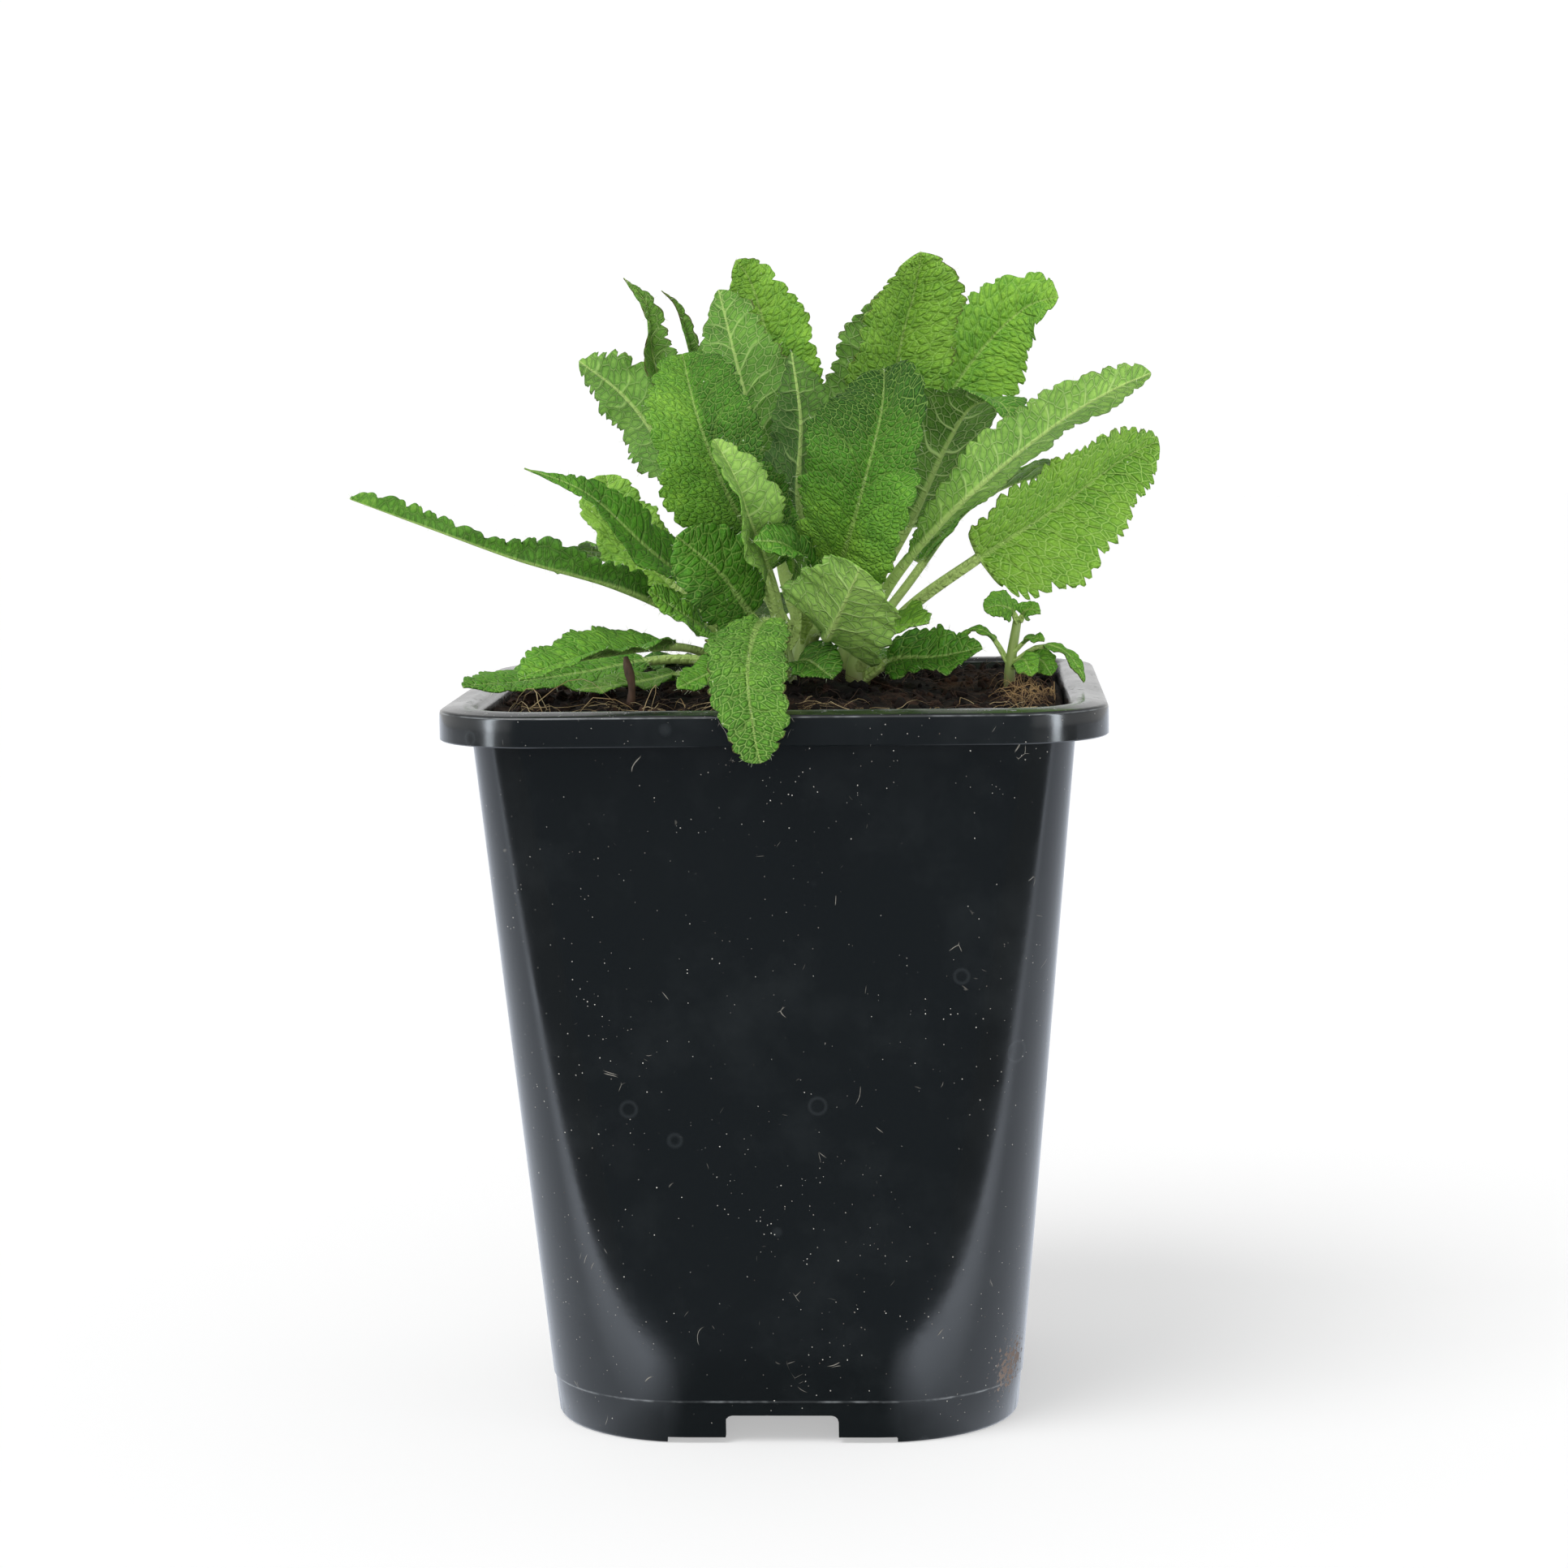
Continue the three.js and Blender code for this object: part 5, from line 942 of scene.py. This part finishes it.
def salvia_leaf(name):
    """A living salvia leaf: matt and slightly downy. The upper side is quilted between sunken
    veins, and the underside is greyer, with raised whitish ones."""
    material, add, shader = new_material(name)
    given = ("net", "vein", "place", "look")
    net, vein, place, look = (add("Attribute", attribute_name=name).outputs["Vector"] for name in given)
    here = add("TexCoord").outputs["Object"]
    vein_at, off_rib, rib_half = add("SeparateXYZ", (vein,)).outputs
    along, across, is_upper = add("SeparateXYZ", (place,)).outputs
    tone_and_shade, brown, relief = add("SeparateXYZ", (look,)).outputs

    # The net of veins, with cells of one to two millimetres, and a finer one inside them.
    smooth = {"interpolation_type": "SMOOTHSTEP"}
    nets = []
    for scale, thin, wide in ((1.0, 0.01, 0.1), (2.7, 0.0, 0.13)):
        cells = add("TexVoronoi", {"Vector": net, "Scale": scale}, **NET)
        line = add("MapRange", (cells, thin, wide, 1.0, 0.0), **smooth)
        dome = add("MapRange", (cells, 0.0, 0.34, 0.0, 1.0), **smooth)
        nets.append((line, dome))
    (net_line, net_dome), (fine_line, fine_dome) = nets

    # Side veins: distance to the nearest whole number, in shares of their spacing.
    nearest = add("Math", (vein_at, 0.5), operation="PINGPONG")
    side_line = add("MapRange", (nearest, 0.015, 0.075, 1.0, 0.0), **smooth)
    fade = add("MapRange", (across, 0.4, 0.95, 1.0, 0.05))
    side_line = add("Math", (side_line, fade), operation="MULTIPLY")
    on_blade = add("MapRange", (along, 0.0, 0.02, 0.0, 1.0))
    side_line = add("Math", (side_line, on_blade), operation="MULTIPLY")

    # The midrib, about as wide as the stalk that it runs on from.
    ratio = add("Math", (off_rib, rib_half), operation="DIVIDE")
    rib = add("MapRange", (ratio, 0.5, 1.1, 1.0, 0.0), **smooth)
    stalk = add("Math", (1.0, on_blade), operation="SUBTRACT")
    rib = add("Math", (rib, stalk), operation="MAXIMUM")

    # Greens: by the leaf's tone with its painted light and shade, with patches some millimetres wide, a fine
    # mottle, and painted shade along the grooves of the net.
    patch = add("TexNoise", {"Vector": here, "Scale": 170.0, "Detail": 3.0})
    mottle = add("TexNoise", {"Vector": here, "Scale": 1300.0, "Detail": 4.0, "Roughness": 0.6})
    shade = tone_and_shade
    for source, low, high, least, most in (
        (patch, 0.3, 0.7, -0.16, 0.16),
        (mottle, 0.3, 0.7, -0.12, 0.12),
        # Painted shade and highlight: darker along the net's sunken lines, a little lighter on the cells'
        # tops.
        (net_dome, 0.0, 1.0, -0.2, 0.08),
    ):
        share = add("MapRange", (source, low, high, least, most))
        shade = add("Math", (shade, share), operation="ADD")
    sides = []
    for dark, middle, light in (LOWER, UPPER):
        ramp = add("ValToRGB", (shade,))
        ramp.color_ramp.elements[0].color = hex_color(dark)
        ramp.color_ramp.elements[1].color = hex_color(light)
        ramp.color_ramp.elements.new(0.5).color = hex_color(middle)
        sides.append(ramp)
    skin_color = add("Mix", {0: is_upper, 6: sides[0], 7: sides[1]}, data_type="RGBA")

    # Veins: a little paler than the upper side, where the pale net is partly a painted glint on the cells'
    # edges and partly pale hairs, and much paler than the underside.
    vein_and_glint_color = add("Mix", {0: is_upper, 6: "#B6D284", 7: "#A8D066"}, data_type="RGBA")
    strength = add("MapRange", (is_upper, 0.0, 1.0, 0.6, 0.5))
    lines = add("Math", (net_line, 0.8), operation="MULTIPLY")
    fine_part = add("Math", (fine_line, 0.2), operation="MULTIPLY")
    lines = add("Math", (lines, fine_part), operation="MAXIMUM")
    bold = add("MapRange", (is_upper, 0.0, 1.0, 1.0, 0.5))
    bold = add("Math", (side_line, bold), operation="MULTIPLY")
    lines = add("Math", (lines, bold), operation="MAXIMUM")
    boldness = add("SeparateXYZ", (net,)).outputs["Z"]
    drawn = add("Math", (lines, strength), operation="MULTIPLY")
    drawn = add("Math", (drawn, boldness), operation="MULTIPLY", use_clamp=True)
    veined = add("Mix", {0: drawn, 6: skin_color, 7: vein_and_glint_color}, data_type="RGBA")
    rib_part = add("MapRange", (is_upper, 0.0, 1.0, 0.7, 0.45))
    rib_part = add("Math", (rib_part, stalk), operation="MAXIMUM")
    rib_part = add("Math", (rib, rib_part), operation="MULTIPLY")
    ribbed = add("Mix", {0: rib_part, 6: veined, 7: "#B4D078"}, data_type="RGBA")

    # A thin brown purple edge on the teeth, broken in places.
    edge = add("MapRange", (across, 0.955, 1.0, 0.0, 1.0))
    worn = add("TexNoise", {"Vector": here, "Scale": 300.0, "Detail": 2.0})
    worn = add("MapRange", (worn, 0.45, 0.6, 0.0, 1.0))
    for factor in (worn, brown, on_blade):
        edge = add("Math", (edge, factor), operation="MULTIPLY")
    edged = add("Mix", {0: edge, 6: ribbed, 7: "#5C4A2C"}, data_type="RGBA")

    # White specks of dust, 0.2 mm across, in one of five cells of 1.7 mm.
    dust = add("TexVoronoi", {"Vector": here, "Scale": 600.0})
    chance = add("SeparateColor", (dust.outputs["Color"],))
    size = add("MapRange", (chance.outputs["Red"], 0.8, 1.0, 0.0, 0.1))
    speck = add("Math", (dust.outputs["Distance"], size), operation="LESS_THAN")
    speck = add("Math", (speck, 0.6), operation="MULTIPLY")
    dusted = add("Mix", {0: speck, 6: edged, 7: "#D3DDC0"}, data_type="RGBA")
    rough = add("MapRange", (mottle, 0.3, 0.7, 0.5, 0.68))

    # Bump: the cells swell out of the upper side, and the net stands out of the underside.
    swollen = add("Math", (net_dome, 0.9), operation="MULTIPLY")
    fine_swell = add("Math", (fine_dome, 0.25), operation="MULTIPLY")
    swollen = add("Math", (swollen, fine_swell), operation="ADD")
    swollen = add("Math", (swollen, relief), operation="MULTIPLY")
    sunken = add("Math", (side_line, 0.5), operation="MULTIPLY")
    swollen = add("Math", (swollen, sunken), operation="SUBTRACT")
    raised = add("Math", (lines, 0.4), operation="MULTIPLY")
    height = add("Mix", {0: is_upper, 2: raised, 3: swollen}, data_type="FLOAT")
    down = add("Math", (mottle, 0.35), operation="MULTIPLY")
    height = add("Math", (height, down), operation="ADD")
    bump = add("Bump", {"Height": height, "Strength": 1.0, "Distance": 0.0005})
    set_inputs(shader, {"Base Color": dusted, "Roughness": rough, "Specular IOR Level": 0.2, "Normal": bump})
    return material


leaf_finish = {slot: salvia_leaf("salvia_" + slot) for slot in ("leaf_bright", "leaf_deep", "leaf_pale")}

blades = []
for number, (name, leaf) in enumerate(LEAVES.items()):
    shape = dict(leaf)
    slot, shoot, up = shape.pop("slot"), shape.pop("shoot"), shape.pop("up")
    foot = (*SHOOTS[shoot][:2], up)
    made = leaf_skin([foot, *shape.pop("path")], seed=number + 1, **shape)
    blades.append(piece("blade_" + name, made, leaf_finish[slot], slot, "leaf_" + name))


# ---- The down ------------------------------------------------------------------------------
# Soft hairs half a millimetre to a millimetre long, on the stalks, the ribs and the margins.
# They grow out of the leaf's skin, and catch the light as a pale fuzz.

HAIRS_A_LEAF = 80
HAIR_FOOT, HAIR_TIP = 0.028, 0.01
down_random = np.random.default_rng(11)


def down_on(blades):
    """Hairs on the stalks, ribs and margins of the blades, each straight and drawn to a point."""
    hairs = []
    for blade in blades:
        mesh = blade.data
        place, spots, normals = (np.empty((len(mesh.vertices), 3), np.float32) for _ in range(3))
        mesh.attributes["place"].data.foreach_get("vector", place.ravel())
        mesh.vertices.foreach_get("co", spots.ravel())
        mesh.vertex_normals.foreach_get("vector", normals.ravel())
        along, across = place[:, 0], place[:, 1]
        downy = np.flatnonzero((along < 0.02) | (across > 0.97) | (across < 0.02))
        picked = down_random.choice(downy, HAIRS_A_LEAF)
        roots = spots[picked]
        way = unit(normals[picked] + down_random.normal(size=roots.shape) * 0.3)
        tips = roots + way * down_random.uniform(0.45, 1.0, (HAIRS_A_LEAF, 1)) * MM
        hairs += [((*root, HAIR_FOOT), (*tip, HAIR_TIP)) for root, tip in zip(roots, tips)]
    return threads(hairs)


def leaf_hair():
    """Living plant hair: nearly white, with a soft shine that makes the fuzz on the stalks."""
    material, add, shader = new_material("leaf_hair")
    here = add("TexCoord").outputs["Object"]
    change = add("TexNoise", {"Vector": here, "Scale": 300.0})
    tint = add("Mix", {0: change, 6: "#B9CF94", 7: "#E8F0DA"}, data_type="RGBA")
    set_inputs(shader, {"Base Color": tint, "Roughness": 0.35})
    return material


piece("leaf_down", down_on(blades), leaf_hair(), "leaf_pale")


# ---- The side shoot -----------------------------------------------------------------------
# A young shoot that has come up from the roots at the right: a pale stem as thick as a match
# with a pair of leaves at its tip and narrow curled ones lower down. It stands in the peat.

SIDE_STEM = [(39, -10, 112), (39, -10, 122), (39.3, -10, 128), (40.5, -10, 135.5)]
SIDE_LEAVES = [
    dict(
        path=[(40.6, -11, 135.4), (39.4, -12.6, 137.6), (37, -14.3, 138.4), (34.9, -15.4, 137.8)],
        faces=[(0.1, -0.8, 0.55), (-0.1, -0.9, 0.4)], half=2.6, blade=0.25, base=0.35, tip=0.5,
    ),
    dict(
        path=[(40.9, -11, 135.6), (42, -12.6, 137.4), (43.2, -13.6, 137.6), (44.4, -14.4, 137)],
        faces=[(0.1, -0.8, 0.55), (0.2, -0.9, 0.4)], half=1.8, blade=0.25, base=0.35, tip=0.9,
    ),
    dict(
        path=[(39.5, -10, 130), (42.3, -12, 132.6), (45, -14, 132.4)],
        faces=[(0, -0.4, 1)], half=1.6,
    ),
    dict(
        path=[
            (39.4, -10, 128.4), (44, -12.5, 131.4), (48.3, -15, 130.6), (51, -17, 127.2),
            (51.6, -18, 125.6),
        ],
        faces=[(0, -0.2, 1), (0.6, -0.6, 0.5)], half=1.5,
    ),
    dict(
        path=[(39.3, -10, 127.6), (41.5, -15, 129.2), (42.8, -18.5, 126.8)],
        faces=[(0, -0.7, 0.7), (0, -0.9, 0.4)], half=2.3,
    ),
    dict(
        path=[(39.4, -10, 127.6), (44.2, -12.5, 129), (46.2, -15, 126.6)],
        faces=[(0, -0.7, 0.7), (0, -0.9, 0.4)], half=2.3,
    ),
    dict(
        path=[(39.2, -10, 128), (36, -9.5, 133), (32.8, -9, 134), (30.6, -9.5, 132.6)],
        faces=[(0, -0.3, 1)], half=1.2,
    ),
]
stem = skin(tube_rings(SIDE_STEM, [1.05, 1.0, 0.9, 0.7], 16, 0.05))
piece("side_stem", stem, stem_green, "leaf_bright", "side_shoot")
small = dict(
    teeth=4, blade=0.4, fold=10, wave=0.3, stalk=0.5, serrate=0.9, relief=0.3, cell=0.9, tone_and_shade=(0.45, 0.65),
    brown=0.5, step=0.25,
)
for number, leaf in enumerate(SIDE_LEAVES):
    made = leaf_skin(**(small | leaf), seed=60 + number)
    piece(f"side_blade_{number + 1}", made, leaf_finish["leaf_bright"], "leaf_bright")


# ---- The twig -----------------------------------------------------------------------------
# The stub of a shoot that was cut back: knobbly, with dry, brown bark.
# It stands in the peat at the left.

TWIG = [(-24.4, -22, 116), (-24.9, -22, 122), (-24.6, -22.2, 126), (-25.3, -22, 129.5), (-25.6, -21.8, 131)]
TWIG_RADII = [1.4, 1.0, 0.75, 0.6, 0.55, 0.75, 0.6, 0.65, 0.85, 0.75, 0.35]


def dry_bark():
    """Dry bark: matt brown, wrinkled lengthwise."""
    material, add, shader = new_material("dry_bark")
    here = add("TexCoord").outputs["Object"]
    wrinkle = add("Mapping", {"Vector": here, "Scale": (1.0, 1.0, 0.3)})
    wrinkle = add("TexNoise", {"Vector": wrinkle, "Scale": 1400.0, "Detail": 4.0})
    tint = add("Mix", {0: wrinkle, 6: "#24170F", 7: "#73543D"}, data_type="RGBA")
    bump = add("Bump", {"Height": wrinkle, "Strength": 0.8, "Distance": 0.0003})
    set_inputs(shader, {"Base Color": tint, "Roughness": 0.75, "Normal": bump})
    return material


piece("cut_twig", skin(tube_rings(TWIG, TWIG_RADII, 18)), dry_bark(), "twig", "twig")


# ---- The floor, the light and the camera --------------------------------------------------
# A white light table with soft light from above and from the sides, as for a plant catalogue.

FLOOR_SIZE = 4
ROOM_SIZE, ROOM_FRONT = 1.1, -1.7
CARD_SIZE, CARD_FRONT, CARD_LOW = 1.2, -0.077, -0.0005


def flat_card(name, size, place, finish, color, glow):
    """A square of the stage, twice its size wide, with a material that gives off light.
    Returns the square, the function that adds a node to its material, and the shader."""
    bm = bmesh.new()
    bmesh.ops.create_grid(bm, x_segments=1, y_segments=1, size=size, matrix=place)
    made = put(name, mesh_of(bm))
    material, add, shader = new_material(finish)
    set_inputs(shader, {"Base Color": color, "Emission Color": glow})
    made.data.materials.append(material)
    return made, add, shader


floor, _, shader = flat_card("paper_floor", FLOOR_SIZE, Matrix(), "white_light_table", "#C8C8C8", "#FFFFFF")
set_inputs(shader, {"Roughness": 0.9, "Emission Strength": 0.42})
floor.visible_glossy = False

# A glowing card that only gloss sees: it ends just in front of the pot, so that the pot's
# front mirrors a dark room, and its round corners mirror the white table. Its front part has a
# dark gap in the middle.
under = Matrix.Translation((0, CARD_FRONT + CARD_SIZE, CARD_LOW))
card, add, shader = flat_card("gloss_card", CARD_SIZE, under, "card_glow", "#000000", "#EAF2FF")
card_x, card_y, _ = add("SeparateXYZ", (add("TexCoord").outputs["Object"],)).outputs
power = add("MapRange", (card_y, CARD_FRONT, CARD_FRONT + 0.03, 3.6, 1.2))
off_middle = add("Math", (card_x,), operation="ABSOLUTE")
beside = add("MapRange", (off_middle, 0.018, 0.034, 0.0, 1.0))
behind = add("Math", (card_y, 0.0), operation="GREATER_THAN")
beside = add("Math", (beside, behind), operation="MAXIMUM")
set_inputs(shader, {"Emission Strength": add("Math", (power, beside), operation="MULTIPLY")})

# The dark of the room in front, seen by gloss alone: the rim's flat faces mirror it.
upright = Matrix.Translation((0, ROOM_FRONT, 0)) @ Matrix.Rotation(-math.pi / 2, 4, "X")
room, _, shader = flat_card("dark_room", ROOM_SIZE, upright, "dim_wall", "#000000", "#4C525A")
set_inputs(shader, {"Emission Strength": 1.0})
for mirrored in (card, room):
    mirrored.visible_camera = mirrored.visible_diffuse = False
    mirrored.visible_shadow = mirrored.visible_transmission = False

world = bpy.data.worlds.new("studio")
world.use_nodes = True
add = partial(add_node, world.node_tree)
height = add("SeparateXYZ", (add("TexCoord").outputs["Generated"],)).outputs["Z"]
sky = add("ValToRGB", (add("MapRange", (height, -1.0, 1.0)),))
levels = ((0.34, "#585858"), (0.456, "#606060"), (0.472, "#FFFFFF"), (0.57, "#FFFFFF"), (0.72, "#BBBBBB"))
for at, level in levels:
    sky.color_ramp.elements.new(at).color = hex_color(level)
sky.color_ramp.elements[0].color = hex_color("#606060")
sky.color_ramp.elements[-1].color = hex_color("#BBBBBB")
set_inputs(world.node_tree.nodes["Background"], {"Color": sky, "Strength": 1.03})
bpy.context.scene.world = world


def facing(way):
    """The turn of a lamp that shines along a direction."""
    return Vector(way).to_track_quat("-Z", "Y").to_euler()


sun = bpy.data.lights.new("key", "SUN")
sun.energy = 1.6
sun.angle = math.radians(35)
put("key", sun).rotation_euler = facing((0.45, 0.5, -1))


def softbox(name, place, target, wide, high, power):
    """A rectangular lamp that faces a target."""
    lamp = bpy.data.lights.new(name, "AREA")
    lamp.shape = "RECTANGLE"
    lamp.size, lamp.size_y, lamp.energy = wide, high, power
    made = put(name, lamp)
    made.location = place
    made.rotation_euler = facing(Vector(target) - Vector(place))
    return made


fill = softbox("fill", (0.05, -1.3, 0.22), (0, 0, 0.14), 0.9, 0.6, 5.6)
fill.visible_glossy = False
for name, x, y in (("left_strip", -0.75, -0.5), ("right_strip", 0.75, -0.45)):
    strip = softbox(name, (x, y, 0.3), (0, 0, 0.08), 0.14, 0.6, 4)
    strip.data.color = (0.85, 0.93, 1.0)
    strip.visible_diffuse = False

CAMERA_PLACE = (0.032, -0.6392, 0.1808)
SENSOR_WIDE, FOCAL_LENGTH = 36, 84.57
CAMERA_YAW, CAMERA_PITCH, CAMERA_ROLL = 0.0504, -0.1154, -0.0134
camera = put("camera", bpy.data.cameras.new("camera"))
camera.data.sensor_width, camera.data.lens, camera.data.clip_start = SENSOR_WIDE, FOCAL_LENGTH, 0.05
turned = Matrix.Rotation(CAMERA_YAW, 4, "Z") @ Matrix.Rotation(math.pi / 2 + CAMERA_PITCH, 4, "X")
camera.matrix_world = Matrix.Translation(CAMERA_PLACE) @ turned @ Matrix.Rotation(CAMERA_ROLL, 4, "Z")
bpy.context.scene.camera = camera
bpy.context.scene.view_settings.view_transform = "Standard"
